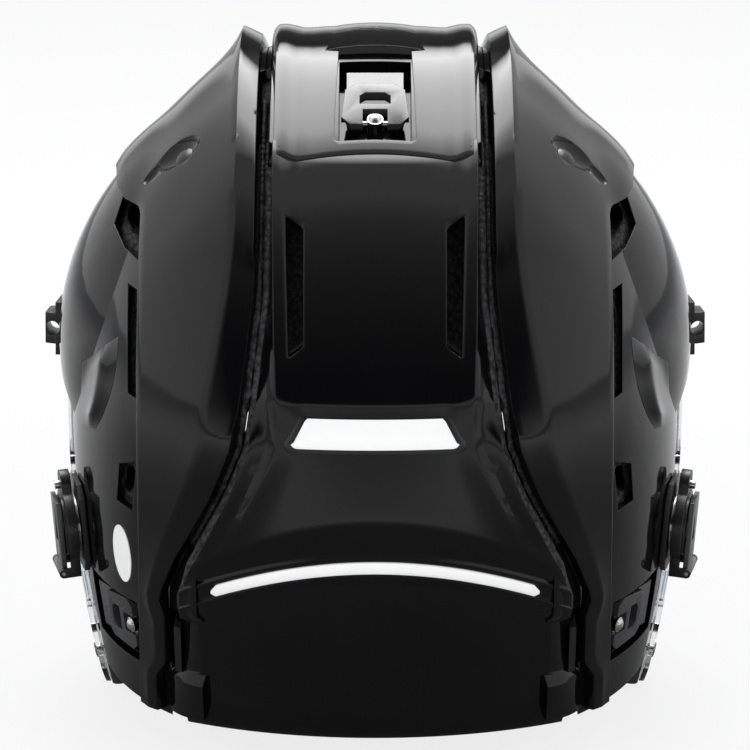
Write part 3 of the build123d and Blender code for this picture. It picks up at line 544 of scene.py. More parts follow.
# Tables of (height, place across), in millimetres
RIB_CREST = ((47.0, 48.0), (78.6, 36.0), (94.0, 29.0), (104.0, 27.4), (130.0, 28.4),
             (172.0, 29.5))
RIB_FACE = (0.0, 0.25, 0.6, 0.92, 1.0, 0.95, 0.2, -0.7, -1.25)
RIB_STEPS = (0.0, 0.3, 0.6, 0.88, 1.0)
SEAM = ((0.0, 172.8), (25.0, 172.8), (31.0, 174.4))
CREASE = 109.0
BAND_VENT = [(25.9, 157.6), (20.7, 154.5), (20.5, 124.0), (24.8, 121.0)]
BAND_EDGE = ((2.0, 56.0), (18.4, 57.5), (47.0, 58.4), (57.0, 54.0), (78.6, 43.0), (94.0, 36.8),
             (109.0, 34.6), (136.0, 31.5), (174.6, 31.0))
BAND_LINES = (0.0, 0.12, 0.24, 0.36, 0.48, 0.6, 0.7, 0.79, 0.87, 0.94, 1.0)
BAND_WALL, BAND_SKIN = 3.0, 1.2
CUP_DEPTH = 2.0
STRIPE_HALF, STRIPE_HEIGHT = 48.3, 3.7
# Rows of (height over the stripe's top, relief), then of (height, relief) at the foot
STRIPE_ROWS = ((1.6, -1.5), (0.5, -1.4), (0.2, -2.0), (-3.9, -2.0), (-4.2, -1.4), (-5.2, -1.5),
               (-6.2, -2.0))
FOOT_ROWS = [(8.6, -1.9), (6.8, -0.9), (5.4, -0.25), (4.0, 0.0), (2.6, -0.05), (1.98, -0.2)]
SIDE_NOTCH = [(51.5, 21.0), (57.5, 18.6), (80.0, 18.6), (80.0, 40.4), (58.5, 40.4), (52.0, 38.4)]


def ledge(x):
    """Height of the ledge's crest at a place across the band."""
    return 74.5 - 15.7 * (x / 50.9) ** 2


def stripe_top(x):
    return 62.3 - 10.6 * (x / STRIPE_HALF) ** 2


def band_rows(x):
    """(height, relief) of each row of the band's middle at a place across it."""
    seam = between(SEAM, abs(x))
    top, crest, stripe = seam, ledge(x), stripe_top(x)
    floor = seat(BAND, 0, CREASE).y
    rows = [(z, 0.0) for z in steps(top, CREASE + 1.2, 24)]
    rows.append((CREASE, 0.05))
    low_y = seat(BAND, 0, crest).y
    for z in steps(CREASE - 1.2, crest + 1.4, 12):
        share = (CREASE - z) / (CREASE - crest)
        chord = floor + (low_y - floor) * share
        rows.append((z, chord - seat(BAND, 0, z).y))
    rows += [(crest + 0.5, -0.1), (crest - 0.5, -0.2)]
    for share, z in enumerate(steps(crest - 1.5, stripe + 2.4, 4)):
        rows.append((z, -0.5 - 0.45 * share))
    rows += [(stripe + up, sunk) for up, sunk in STRIPE_ROWS]
    rows += [(z, -CUP_DEPTH) for z in steps(stripe - 7.5, 10.5, 14)]
    return rows + FOOT_ROWS


BAND_ROWS = len(band_rows(0.0)) - 1
BAND_COLUMNS = 2 * (len(BAND_LINES) - 1 + 8)


def band_lines(z):
    """Places across the band of its columns at a height, from the middle to the left edge."""
    edge = between(BAND_EDGE, z)
    fall = min(max((CREASE - z) / (CREASE - 47.0), 0.0), 1.0)
    crest = min(between(RIB_CREST, z), edge - 1.6)
    foot = crest - 6.2 - 4.0 * fall
    inner = [foot * line for line in BAND_LINES]
    inner += [foot + (crest - foot) * share for share in RIB_STEPS[1:]]
    return inner + [crest + (edge - crest) * share for share in (0.1, 0.4, 0.75, 1.0)]


def band_place(u, v):
    """(x, z, relief) of the band's grid point."""
    half = BAND_COLUMNS // 2
    column = abs(u - half)
    side = 1 if u >= half else -1
    row = BAND_ROWS - v
    x = 22.6
    for _ in range(4):
        z, sunk = band_rows(x)[row]
        x = band_lines(z)[column]
    lines = len(BAND_LINES) - 1
    height = sunk
    if column > lines:
        share = RIB_FACE[column - lines]
        fade = min(max((z - 96.0) / 18.0, 0.0), 1.0)
        fade = fade * fade * (3 - 2 * fade)
        rib = sizes().rib_height / MM * share * fade
        flat = min(max((z - 62.0) / 9.0, 0.0), 1.0)
        height = sunk * (1 - min(abs(share), 1.0) * flat) + rib
    return side * x, z, height


class HELMET_OT_rear_shell(bpy.types.Operator):
    """Middle band with its ribs, flared ledge, stripe channel and cup, in one moulding"""
    bl_idname = "helmet.rear_shell"
    bl_label = "Rear Shell"

    def execute(self, context):
        def outer(u, v):
            x, z, height = band_place(u, v)
            return seat(BAND, x, z, height)

        def inner(u, v):
            x, z, height = band_place(u, v)
            return seat(BAND, x, z, min(-BAND_WALL, height - BAND_SKIN))

        piece = formed_wall("rear_moulding", BAND_COLUMNS, BAND_ROWS, outer, inner)
        cutters = [prism(corners, (0, 160, 0), 0.8)
                   for outline in (SIDE_NOTCH, BAND_VENT) for corners in both(behind(outline))]
        cut(piece, *cutters)
        rounded(piece, sizes().edge_radius)
        shaded(piece)
        dressed(piece, "rear_half", gloss_finish(), "gloss_shell", "rear_shell")
        return {"FINISHED"}


def strip_piece(name, outline, top, under, grow):
    """Raised trim on the band: a grid between two heights at each place across it."""
    columns, rows = 60, 4

    def place(u, v, lift):
        share = 2 * u / columns - 1
        x, low, high = outline(share)
        z = low + (high - low) * v / rows
        rim = min(u, columns - u, v, rows - v)
        return seat(BAND, x, z, lift - (grow if rim == 0 else 0.0))

    return formed_wall(name, columns, rows, lambda u, v: place(u, v, top),
                       lambda u, v: place(u, v, under))


PLATE_HALF, PLATE_SHADE_RIM_HALF = 24.0, 26.0
PLATE_LOW, PLATE_HIGH = 96.2, 96.4
TRIM_EDGE = 0.2


class HELMET_OT_band_trim(bpy.types.Operator):
    """White arched stripe in its channel, the bare name plate, and a matt black rim round the
    plate that stands in for the shade of its recess (painted shade)
    """
    bl_idname = "helmet.band_trim"
    bl_label = "Stripe and Plate"

    def execute(self, context):
        def stripe(share):
            x = STRIPE_HALF * share
            high = stripe_top(x)
            thin = STRIPE_HEIGHT * min(1.0, (1 - abs(share)) * 30 + 0.25)
            middle = high - STRIPE_HEIGHT / 2
            return x, middle - thin / 2, middle + thin / 2

        piece = strip_piece("rear_stripe_trim", stripe, -0.9, -2.6, 0.35)
        rounded(piece, TRIM_EDGE * MM, 30.0)
        shaded(piece)
        dressed(piece, "rear_half", trim_finish(), "white_trim", "rear_stripe")

        def plate(share):
            x = PLATE_HALF * share
            edge = min((PLATE_HALF - abs(x)) * 1.9, 8.4)
            corner = max(0.0, 1.0 - (PLATE_HALF - abs(x)))
            return x, PLATE_LOW + corner, PLATE_HIGH + max(edge, 0.9)

        # Matt black rim round the plate: a dark piece put where the plate's recess is in shade,
        # painted shade
        def frame_round(share):
            x, low, high = plate(share)
            return x * PLATE_SHADE_RIM_HALF / PLATE_HALF, low - 1.3, high + 0.9

        rim = strip_piece("name_plate_shade_rim", frame_round, 0.15, -1.6, 0.5)
        shaded(rim)
        dressed(rim, "rear_half", matt_finish(), "matt_black")
        piece = strip_piece("name_plate_trim", plate, 0.6, -1.6, 0.35)
        rounded(piece, TRIM_EDGE * MM, 30.0)
        shaded(piece)
        dressed(piece, "rear_half", trim_finish(), "white_trim", "name_plate")
        return {"FINISHED"}


CUP_LOW, CUP_HIGH = 4.6, 62.0
CUP_REACH = ((4.6, 60.4), (21.0, 60.4), (24.0, 59.2), (37.0, 59.2), (40.0, 60.9), (45.0, 60.8),
             (52.0, 58.6), (62.0, 54.2))
CUP_RELIEF = ((18.4, 0.9), (19.6, -2.6), (38.4, -2.6), (39.8, -1.2))
CUP_WALL = 2.2


class HELMET_OT_cup_sides(bpy.types.Operator):
    """Returns at the cup's sides, which close it towards the panels behind the ears"""
    bl_idname = "helmet.cup_sides"
    bl_label = "Cup Sides"

    def execute(self, context):
        columns, rows = 6, 44
        heights = steps(CUP_LOW, CUP_HIGH, rows)

        def place(u, v, lift):
            z = heights[v]
            share = u / columns
            start = min(between(BAND_EDGE, z) - 3.0, 50.6 if z < 40.0 else 52.5)
            x = start + (between(CUP_REACH, z) - start) * share
            deep = between(CUP_RELIEF, z)
            near, far = seat(BAND, x, z, deep), seat(SHELL, x, z, deep / 2 + 0.6)
            return near.lerp(far, share * share) + Vector((0, lift, 0))

        piece = formed_wall("cup_side_left", columns, rows, lambda u, v: place(u, v, 0.0),
                            lambda u, v: place(u, v, -CUP_WALL))
        shaded(piece)
        twin = mirrored(piece, "cup_side_right")
        for side in (piece, twin):
            dressed(side, "rear_half", gloss_finish(), "gloss_shell")
        return {"FINISHED"}


# Side panels

PANEL_INNER = ((4.4, 63.0), (17.0, 63.0), (22.6, 59.9), (38.0, 59.9), (39.0, 61.5), (44.0, 61.5),
               (57.0, 56.6), (78.6, 45.6), (94.0, 39.6), (109.0, 37.4), (136.0, 33.8),
               (150.0, 33.1))
PANEL_BEVEL = ((4.4, 2.4), (40.0, 2.6), (57.0, 4.5), (78.6, 7.5), (97.0, 8.0), (105.0, 8.3),
               (145.0, 5.4), (150.0, 5.0), (190.0, 3.2))
PANEL_CREST = ((4.4, 3.9), (40.0, 4.2), (78.6, 4.9), (105.0, 5.7), (145.0, 6.0), (149.0, 6.8),
               (170.0, 7.4), (188.0, 9.5))
PANEL_GROOVE = ((4.4, 3.3), (44.0, 3.4), (78.6, 4.2), (100.0, 4.4), (104.0, 2.6), (144.5, 2.9),
                (145.5, 4.5), (190.0, 4.4))
PANEL_OUTER = ((-70.0, 69.5), (-10.0, 67.5), (57.0, 67.5), (60.0, 68.4), (66.0, 73.6),
               (72.0, 76.0), (85.2, 77.5), (92.0, 75.0), (98.5, 69.0), (102.5, 60.0),
               (104.4, 51.0))
PANEL_FACE, PANEL_UNDER, PANEL_FOOT = 3.3, 0.3, 3.6
PANEL_BEVEL_COLUMNS, PANEL_FACE_COLUMNS = 5, 15
PANEL_TURNS = ([-34.6 + 1.6 * i for i in range(56)] + [55.0 + 1.5 * i for i in range(33)]
               + [104.4])
PANEL_CLOSE, PANEL_FADE = 105.4, 5.4
# Screw pocket and dimple at the shoulder: (place, lift, radii, turn in degrees)
POCKETS = (((56.8, 164.7), 5.4, (11.5, 6.6, 4.2), 34.0),
           ((64.2, 158.0), 4.6, (5.2, 3.1, 2.6), 62.0))


def panel_place(u, v):
    """(x, turn, relief) of the left panel's grid point."""
    turn = radians(PANEL_TURNS[v])
    if u <= PANEL_BEVEL_COLUMNS:
        x = 45.0
        for _ in range(5):
            z = head_point(x, turn).z
            share = u / PANEL_BEVEL_COLUMNS
            x = between(PANEL_INNER, z) + between(PANEL_BEVEL, z) * share
        low, high = between(PANEL_GROOVE, z), between(PANEL_CREST, z)
        end = min(max((PANEL_CLOSE - PANEL_TURNS[v]) / PANEL_FADE, 0.0), 1.0)
        end = sqrt(end * (2 - end))
        return x, turn, (low + (high - low) * share) * end
    x, turn, crest = panel_place(PANEL_BEVEL_COLUMNS, v)
    share = (u - PANEL_BEVEL_COLUMNS) / PANEL_FACE_COLUMNS
    outer = between(PANEL_OUTER, PANEL_TURNS[v])
    x = x + (outer - x) * share
    crown = min(max((PANEL_TURNS[v] - 45.0) / 30.0, 0.0), 1.0)
    return x, turn, PANEL_FACE + (crest - PANEL_FACE) * (1 - share) ** (1.6 + 4.0 * crown)


def hollow(seat_at, lift, radii, turn):
    """Round cutter lifted off the shell at (x, z) and turned in its tangent plane."""
    point = seat(SHELL, *seat_at)
    out = (seat(SHELL, *seat_at, 1.0) - point).normalized()
    across = Vector((0, 0, 1)).cross(out).normalized()
    frame_here = Matrix((across, out.cross(across), out)).transposed()
    spin = Matrix.Rotation(radians(turn), 3, "Z")
    cutter = added(bpy.ops.mesh.primitive_uv_sphere_add, segments=40, ring_count=24, radius=1)
    for vertex in cutter.data.vertices:
        local = spin @ Vector([c * r for c, r in zip(vertex.co, radii)])
        vertex.co = placed(point + frame_here @ local + out * lift)
    return cutter


class HELMET_OT_side_panels(bpy.types.Operator):
    """Raised panels over the shell, each with a bevelled rail along the groove"""
    bl_idname = "helmet.side_panels"
    bl_label = "Side Panels"

    def execute(self, context):
        def outer(u, v):
            x, turn, height = panel_place(u, v)
            return head_seat(x, turn, height)

        def inner(u, v):
            x, turn, height = panel_place(u, v)
            return head_seat(x, turn, PANEL_UNDER)

        piece = formed_wall("side_panel_moulding_left",
                            PANEL_BEVEL_COLUMNS + PANEL_FACE_COLUMNS, len(PANEL_TURNS) - 1,
                            outer, inner)
        cut(piece, prism(behind([(40, PANEL_FOOT), (90, PANEL_FOOT), (90, -40), (40, -40)], 30),
                         (0, 100, 0)))
        for pocket in POCKETS:
            cut(piece, hollow(*pocket))
        rounded(piece, sizes().edge_radius * 1.3)
        shaded(piece)
        twin = mirrored(piece, "side_panel_moulding_right")
        dressed(piece, "front_half", gloss_finish(), "gloss_shell", "side_panel_left")
        dressed(twin, "front_half", gloss_finish(), "gloss_shell", "side_panel_right")
        return {"FINISHED"}


# Facets of the front shell beside the panels

# (share of the width, relief) of each line across a facet
FACET_LINES = ((0.0, 0.04), (0.1, 0.35), (0.2, 0.9), (0.29, 1.5), (0.34, 1.65), (0.4, 1.5),
               (0.52, 0.95), (0.64, 0.55), (0.78, 0.25), (0.9, 0.1), (1.0, 0.04))
FACET_START, FACET_SPAN, FACET_UNDER = 8.0, 24.0, 0.8


class HELMET_OT_facets(bpy.types.Operator):
    """Creased facets between each panel's vents and the temple"""
    bl_idname = "helmet.facets"
    bl_label = "Temple Facets"

    def execute(self, context):
        rows = 26

        def place(u, v, lift):
            turn = FACET_START + FACET_SPAN * v / rows
            share, height = FACET_LINES[u]
            low, high = 76.4 + 8.0 * (1 - v / rows) ** 2, 91.0 - 2.0 * v / rows
            x = low + (high - low) * share
            if lift is None:
                fade = min(v, rows - v, 5) / 5
                lift = height * (0.1 + 0.9 * fade)
            return head_seat(x, radians(turn), lift)

        piece = formed_wall("temple_facet_left", len(FACET_LINES) - 1, rows,
                            lambda u, v: place(u, v, None),
                            lambda u, v: place(u, v, -FACET_UNDER))
        shaded(piece)
        twin = mirrored(piece, "temple_facet_right")
        for side in (piece, twin):
            dressed(side, "front_half", gloss_finish(), "gloss_shell")
        return {"FINISHED"}


# The tongue over the crown

TONGUE_FRONT, TONGUE_REAR = -30.0, 67.9
TONGUE_LINES = (0.0, 4.0, 8.0, 10.6, 12.4, 15.5, 19.0, 22.0, 23.6, 25.2, 27.0, 28.8, 29.8,
                30.7, 31.3)
TONGUE_RIB = ((22.0, 0.0), (23.6, 0.25), (25.2, 0.6), (27.0, 0.92), (28.8, 1.0), (29.8, 0.95),
              (30.7, 0.3), (31.3, -0.3))
TONGUE_SKIN = 1.2
TONGUE_WINDOW = ((-12.1, 63.5), (12.1, 63.5), (10.4, 0.5), (-10.4, 0.5))


def crown_place(x, y, lift=0.0):
    """Point on the band's form over (x, y), lifted upwards."""
    rest = max(1 - (x / BAND.half_width) ** 2 - (y / BAND.half_length) ** 2, 0.0)
    return Vector((x, y, BAND.height + BAND.rise * sqrt(rest) + lift))


def tongue_lift(x, y):
    """Height over the band's form: flat across the crown, with a rib along each side."""
    crown = min(max((52.0 - y) / 46.0, 0.0), 1.0)
    crown = crown * crown * (3 - 2 * crown)
    plain = 0.25 + crown * (1.25 + 2.1 * (x / 28.0) ** 2)
    rib = between(TONGUE_RIB, abs(x)) * (2.3 - 1.0 * crown)
    groove = 0.5 * crown * max(1 - abs(abs(x) - 20.4) / 2.4, 0.0)
    front = min(max((y - TONGUE_FRONT) / 9.0, 0.0), 1.0)
    return (plain + rib - groove) * (0.3 + 0.7 * front * (2 - front))


class HELMET_OT_tongue(bpy.types.Operator):
    """Skin of the tongue with its ribs, and the long window over the top latch"""
    bl_idname = "helmet.tongue"
    bl_label = "Tongue"

    def execute(self, context):
        lines = [-x for x in reversed(TONGUE_LINES[1:])] + list(TONGUE_LINES)
        rows = 60

        def place(u, v, lift):
            x = lines[u]
            rear = TONGUE_REAR - 1.6 * max(abs(x) - 24.6, 0.0) / 6.0
            y = TONGUE_FRONT + (rear - TONGUE_FRONT) * v / rows
            return crown_place(x, y, tongue_lift(x, y) if lift is None else lift)

        piece = formed_wall("tongue_skin", len(lines) - 1, rows,
                            lambda u, v: place(u, v, None),
                            lambda u, v: place(u, v, -TONGUE_SKIN))
        cut(piece, prism([(x, y, 150) for x, y in TONGUE_WINDOW], (0, 0, 80), 1.6))
        rounded(piece, sizes().edge_radius * 1.4)
        shaded(piece, 40.0)
        dressed(piece, "front_half", gloss_finish(), "gloss_shell")
        return {"FINISHED"}


# Liner, pads and strap ends

SOFT_FOAM = ("front_foam", "crown_foam", "side_foam_left", "side_foam_right", "rear_foam")
SOFT_PADS = ("brow_pad", "crown_pad", "side_pad_left", "side_pad_right", "rear_pad")
SOFT_GRAIN = 1.2
VENT_POCKET = 13.0
# The rear foam's notch beside the cup, and the faces at the groove, in millimetres
NOTCH_LOW, NOTCH_HIGH, NOTCH_SIDE, NOTCH_DEPTH, NOTCH_DRAW = 15.0, 44.0, 51.0, 3.0, 1.7
REAR_FACE, REAR_EDGE, REAR_GROW = 74, 30, 0.5
GROOVE_FACE, GROOVE_GROW = 36.5, 0.35


def remeshed(node, name, size, rounds):
    """Copy of a soft node, rebuilt in even faces and smoothed so that its edges are soft."""
    piece = copy_of(node, name)
    remesh = piece.modifiers.new("even", "REMESH")
    remesh.mode = "VOXEL"
    remesh.voxel_size = size
    soften = piece.modifiers.new("soften", "SMOOTH")
    soften.factor = 0.5
    soften.iterations = rounds
    only(piece)
    bpy.ops.object.modifier_apply(modifier=remesh.name)
    bpy.ops.object.modifier_apply(modifier=soften.name)
    return piece


def body_of(name):
    return "rear_half" if name.startswith("rear") else "front_half"


class HELMET_OT_liner(bpy.types.Operator):
    """Moulded foam blocks with soft edges"""
    bl_idname = "helmet.liner"
    bl_label = "Liner"

    def execute(self, context):
        for name in SOFT_FOAM:
            piece = remeshed(name, name + "_beads", SOFT_GRAIN * MM, 1)
            if name == "rear_foam":
                for corners in both(BAND_VENT):
                    floor = [(x, seat(BAND, x, z).y - VENT_POCKET, z) for x, z in corners]
                    cut(piece, prism(floor, (0, 60, 0)))
                for vertex in piece.data.vertices:
                    x, z = abs(vertex.co.x) / MM, vertex.co.z / MM - LIFT
                    if vertex.co.y > REAR_FACE * MM:
                        notch = min(z - NOTCH_LOW, NOTCH_HIGH - z, x - NOTCH_SIDE, NOTCH_DEPTH)
                        vertex.co.y -= NOTCH_DRAW * MM * max(notch, 0.0)
                    if x > REAR_EDGE:
                        vertex.co.x += copysign(REAR_GROW * MM, vertex.co.x)
            if name.startswith("side"):
                for vertex in piece.data.vertices:
                    if abs(vertex.co.x) < GROOVE_FACE * MM:
                        vertex.co.x -= copysign(GROOVE_GROW * MM, vertex.co.x)
            shaded(piece, 60.0)
            dressed(piece, body_of(name), bead_finish(), "liner_foam", name)
        return {"FINISHED"}


class HELMET_OT_pads(bpy.types.Operator):
    """Comfort pads: cloth over soft foam, crowned and sewn down along channels"""
    bl_idname = "helmet.pads"
    bl_label = "Pads"

    def execute(self, context):
        for name in SOFT_PADS:
            piece = remeshed(name, name + "_cloth", SOFT_GRAIN * MM, 10)
            shaded(piece, 60.0)
            dressed(piece, body_of(name), pad_finish(), "comfort_pad", name)
        return {"FINISHED"}


# Middle and axes of the left strap end's tape, and its sizes in millimetres
FOLD_ORIGIN = Vector((86.8486, 3.45, -1.584))
FOLD_X = Vector((-0.027138, 0.999632, 0.0))
FOLD_Z = Vector((0.974815, 0.026465, -0.22144))
FOLD_REACH, FOLD_BACK, FOLD_TOP, FOLD_RADIUS = 12.0, -5.0, -2.1, 2.9
FOLD_WIDTH, FOLD_WALL = 17.0, 1.8
FOLD_ARC = 16
FOLD_HOLE = 1.7


class HELMET_OT_strap_folds(bpy.types.Operator):
    """Strap ends of woven tape, folded back round themselves inside the ear guards"""
    bl_idname = "helmet.strap_folds"
    bl_label = "Strap Ends"

    def execute(self, context):
        middle = FOLD_TOP - FOLD_RADIUS
        path = [(x, FOLD_TOP) for x in steps(FOLD_BACK, FOLD_REACH, 12)]
        path += [(FOLD_REACH + FOLD_RADIUS * sin(pi * i / FOLD_ARC),
                  middle + FOLD_RADIUS * cos(pi * i / FOLD_ARC)) for i in range(1, FOLD_ARC)]
        path += [(x, middle - FOLD_RADIUS) for x in steps(FOLD_REACH, FOLD_BACK, 12)]
        columns = 18
        along = FOLD_Z.cross(FOLD_X)

        def place(u, v, out):
            here = Vector(path[v])
            step = Vector(path[min(v + 1, len(path) - 1)]) - Vector(path[max(v - 1, 0)])
            step.normalize()
            here += Vector((-step.y, step.x)) * out
            width = FOLD_WIDTH * (u / columns - 0.5)
            return FOLD_ORIGIN + FOLD_X * here.x + along * width + FOLD_Z * here.y

        piece = formed_wall("strap_end_left", columns, len(path) - 1,
                            lambda u, v: place(u, v, FOLD_WALL / 2),
                            lambda u, v: place(u, v, -FOLD_WALL / 2))
        cut(piece, fold_hole())
        weave_map(piece)
        rounded(piece, 0.5 * MM, 50.0, 3)
        shaded(piece, 60.0)
        twin = mirrored(piece, "strap_end_right")
        for side, made in zip(SIDES, (piece, twin)):
            dressed(made, f"{side}_strap", webbing_finish(), "strap_web", f"strap_fold_{side}")
        return {"FINISHED"}


def fold_hole():
    """Round cutter for the rivet through both layers of the fold."""
    cutter = added(bpy.ops.mesh.primitive_cylinder_add, vertices=32, radius=FOLD_HOLE * MM,
                   depth=30 * MM)
    turn = FOLD_Z.to_track_quat("Z", "Y")
    for vertex in cutter.data.vertices:
        vertex.co = turn @ vertex.co + placed(FOLD_ORIGIN)
    return cutter


def weave_map(piece):
    """UV map in millimetres along and across the tape."""
    weave = piece.data.uv_layers.new(name="weave")
    along = FOLD_Z.cross(FOLD_X)
    start = placed(FOLD_ORIGIN)
    for loop in piece.data.loops:
        place = (piece.data.vertices[loop.vertex_index].co - start) / MM
        weave.data[loop.index].uv = (place.dot(FOLD_X) - place.dot(FOLD_Z) * 0.4,
                                     place.dot(along))


# Hard parts whose edges are rounded: (node, body, finish, slot, radius in mm)

EASED = (
    ("top_latch_lever", "top_latch", lever_finish, "grey_lever", 0.6),
    *((f"{node_name}_{side}", body.format(side), finish, slot, radius)
      for node_name, body, finish, slot, radius in (
          ("side_latch_lever", "{}_latch", lever_finish, "grey_lever", 0.5),
          ("clip_bracket", "front_half", matt_finish, "matt_black", 0.6),
          ("clip_disc", "{}_clip", matt_finish, "matt_black", 0.35),
          ("clip_flap", "{}_clip_flap", lever_finish, "grey_lever", 0.45),
          ("temple_clip", "front_half", matt_finish, "matt_black", 1.1))
      for side in SIDES),
)
LEVER_STRETCH = (1.18, 1.0, 1.0)
FLAT_ANGLE, EASE_ANGLE, EASE_SHADE, EASE_SEGMENTS = 1.0, 40.0, 32.0, 3


class HELMET_OT_eased_parts(bpy.types.Operator):
    """Latch levers and clips with their edges rounded"""
    bl_idname = "helmet.eased_parts"
    bl_label = "Rounded Parts"

    def execute(self, context):
        for name, body, finish, slot, radius in EASED:
            piece = copy_of(name, name + "_moulding")
            editing(piece)
            bpy.ops.mesh.dissolve_limited(angle_limit=radians(FLAT_ANGLE))
            if name == "top_latch_lever":
                bpy.ops.transform.resize(value=LEVER_STRETCH, center_override=(0, 0, 0))
            bpy.ops.object.mode_set(mode="OBJECT")
            rounded(piece, radius * MM, EASE_ANGLE, EASE_SEGMENTS)
            shaded(piece, EASE_SHADE)
            dressed(piece, body, finish(), slot, name)
        return {"FINISHED"}


# Finishes of the nodes carried over as they are

def sided(*names):
    return tuple(f"{name}_{side}" for name in names for side in SIDES)


NODE_FINISHES = (
    (gloss_finish, ("front_shell", "top_latch_tray", *sided("side_latch_tray"), "rear_shell",
                    *sided("side_panel"))),
    (matt_finish, ("panel_screws", *sided("clip_bracket", "clip_disc", "temple_clip"),
                   "top_track", *sided("side_track"), "ear_guard_screws")),
    (lever_finish, ("top_latch_lever", *sided("side_latch_lever", "clip_flap"))),
    (steel_finish, ("clip_washers", *sided("clip_pin", "clip_screw", "flap_pin"),
                    "side_latch_axles", "side_latch_posts", "side_lock_pins", "strap_rivets",
                    "top_latch_axle", "top_latch_nut", "top_latch_post", "visor_inserts")),
    (guard_finish, sided("ear_guard")),
    (trim_finish, ("size_label", "name_plate", "rear_stripe")),
    (bead_finish, SOFT_FOAM),
    (pad_finish, SOFT_PADS),
    (webbing_finish, sided("strap_fold")),
)


class HELMET_OT_carried_parts(bpy.types.Operator):
    """Finishes for the latches, clips, guards and other parts carried over from the CAD"""
    bl_idname = "helmet.carried_parts"
    bl_label = "Carried Parts"

    def execute(self, context):
        for finish, names in NODE_FINISHES:
            for name in names:
                obj = frame["nodes"][name]
                obj.data.materials.clear()
                obj.data.materials.append(finish())
        return {"FINISHED"}


# Stage

def area_light(name, place, size, power, glossy=True):
    lamp = added(bpy.ops.object.light_add, type="AREA", location=place)
    lamp.name = name
    lamp.data.shape = "RECTANGLE"
    lamp.data.size, lamp.data.size_y = size
    lamp.data.energy = power
    aim = Vector((0, 0, 0.1)) - Vector(place)
    lamp.rotation_euler = aim.to_track_quat("-Z", "Y").to_euler()
    lamp.visible_camera = False
    lamp.visible_glossy = glossy
    return lamp


def pale_world():
    world = bpy.data.worlds.new("pale_room")
    bpy.context.scene.world = world
    world.use_nodes = True
    tree = world.node_tree
    room = tree.nodes["Background"]
    room.inputs["Color"].default_value = (0.95, 0.97, 1.0, 1.0)
    room.inputs["Strength"].default_value = 0.55
    white = node(tree, "ShaderNodeBackground", Strength=1.0)
    white.inputs["Color"].default_value = (1.0, 1.0, 1.0, 1.0)
    surface_mix(tree, seen_rays(tree, "Camera", "Glossy", "Transmission"), room, white,
                "World Output")


def seen_rays(tree, *kinds):
    """1 for rays of the named kinds."""
    path = node(tree, "ShaderNodeLightPath")
    seen = path.outputs[f"Is {kinds[0]} Ray"]
    for kind in kinds[1:]:
        seen = largest(tree, seen, path.outputs[f"Is {kind} Ray"])
    return seen


def floor_finish():
    material, shader = blank_material("studio_floor")
    tree = material.node_tree
    shader.inputs["Base Color"].default_value = (0.82, 0.82, 0.82, 1.0)
    shader.inputs["Roughness"].default_value = 0.9
    shader.inputs["Specular IOR Level"].default_value = 0.0
    white = node(tree, "ShaderNodeEmission", Strength=1.0)
    share = node(tree, "ShaderNodeMath", operation="MULTIPLY")
    share.inputs[1].default_value = 0.8
    tree.links.new(seen_rays(tree, "Camera", "Transmission"), share.inputs[0])
    surface_mix(tree, share.outputs[0], shader, white, "Material Output")
    return material


def card_finish(name, glow, fades):
    """Card for reflections, black or glowing.

    Each fade is (axis, start, end, clearness at the start, clearness at the end).
    """
    material, shader = blank_material(name)
    tree = material.node_tree
    tree.nodes.remove(shader)
    where = node(tree, "ShaderNodeTexCoord")
    parts = node(tree, "ShaderNodeSeparateXYZ")
    tree.links.new(where.outputs["Object"], parts.inputs[0])
    clear = None
    for axis, *fade in fades:
        share = ramp(tree, parts.outputs[axis], *fade)
        clear = largest(tree, clear, share) if clear else share
    if glow:
        face = node(tree, "ShaderNodeEmission", Strength=glow)
    else:
        face = node(tree, "ShaderNodeBsdfDiffuse", Color=(0.0, 0.0, 0.0, 1.0))
    through = node(tree, "ShaderNodeBsdfTransparent")
    surface_mix(tree, clear, face, through, "Material Output")
    return material


def card(name, low, high, glow, fades):
    """Flat card between two corners, seen only in reflections."""
    made = added(bpy.ops.mesh.primitive_plane_add, size=1)
    made.name = name
    (x0, y0, z0), (x1, y1, z1) = low, high
    for vertex, corner in zip(made.data.vertices,
                              ((x0, y0, z0), (x1, y0, z0), (x0, y1, z1), (x1, y1, z1))):
        vertex.co = corner
    made.data.materials.append(card_finish(name, glow, fades))
    for rays in ("camera", "diffuse", "transmission", "volume_scatter", "shadow"):
        setattr(made, f"visible_{rays}", False)


CAMERA_TILT = 15
CAMERA_AIM = Vector((0, 0, 0.106088))
CAMERA_SENSOR, CAMERA_LENS = 36, 175.47
# Shifts of the picture's middle, in pixels of its width
PICTURE_WIDTH, SHIFT_X, SHIFT_Y = 750, -0.1, -23.6


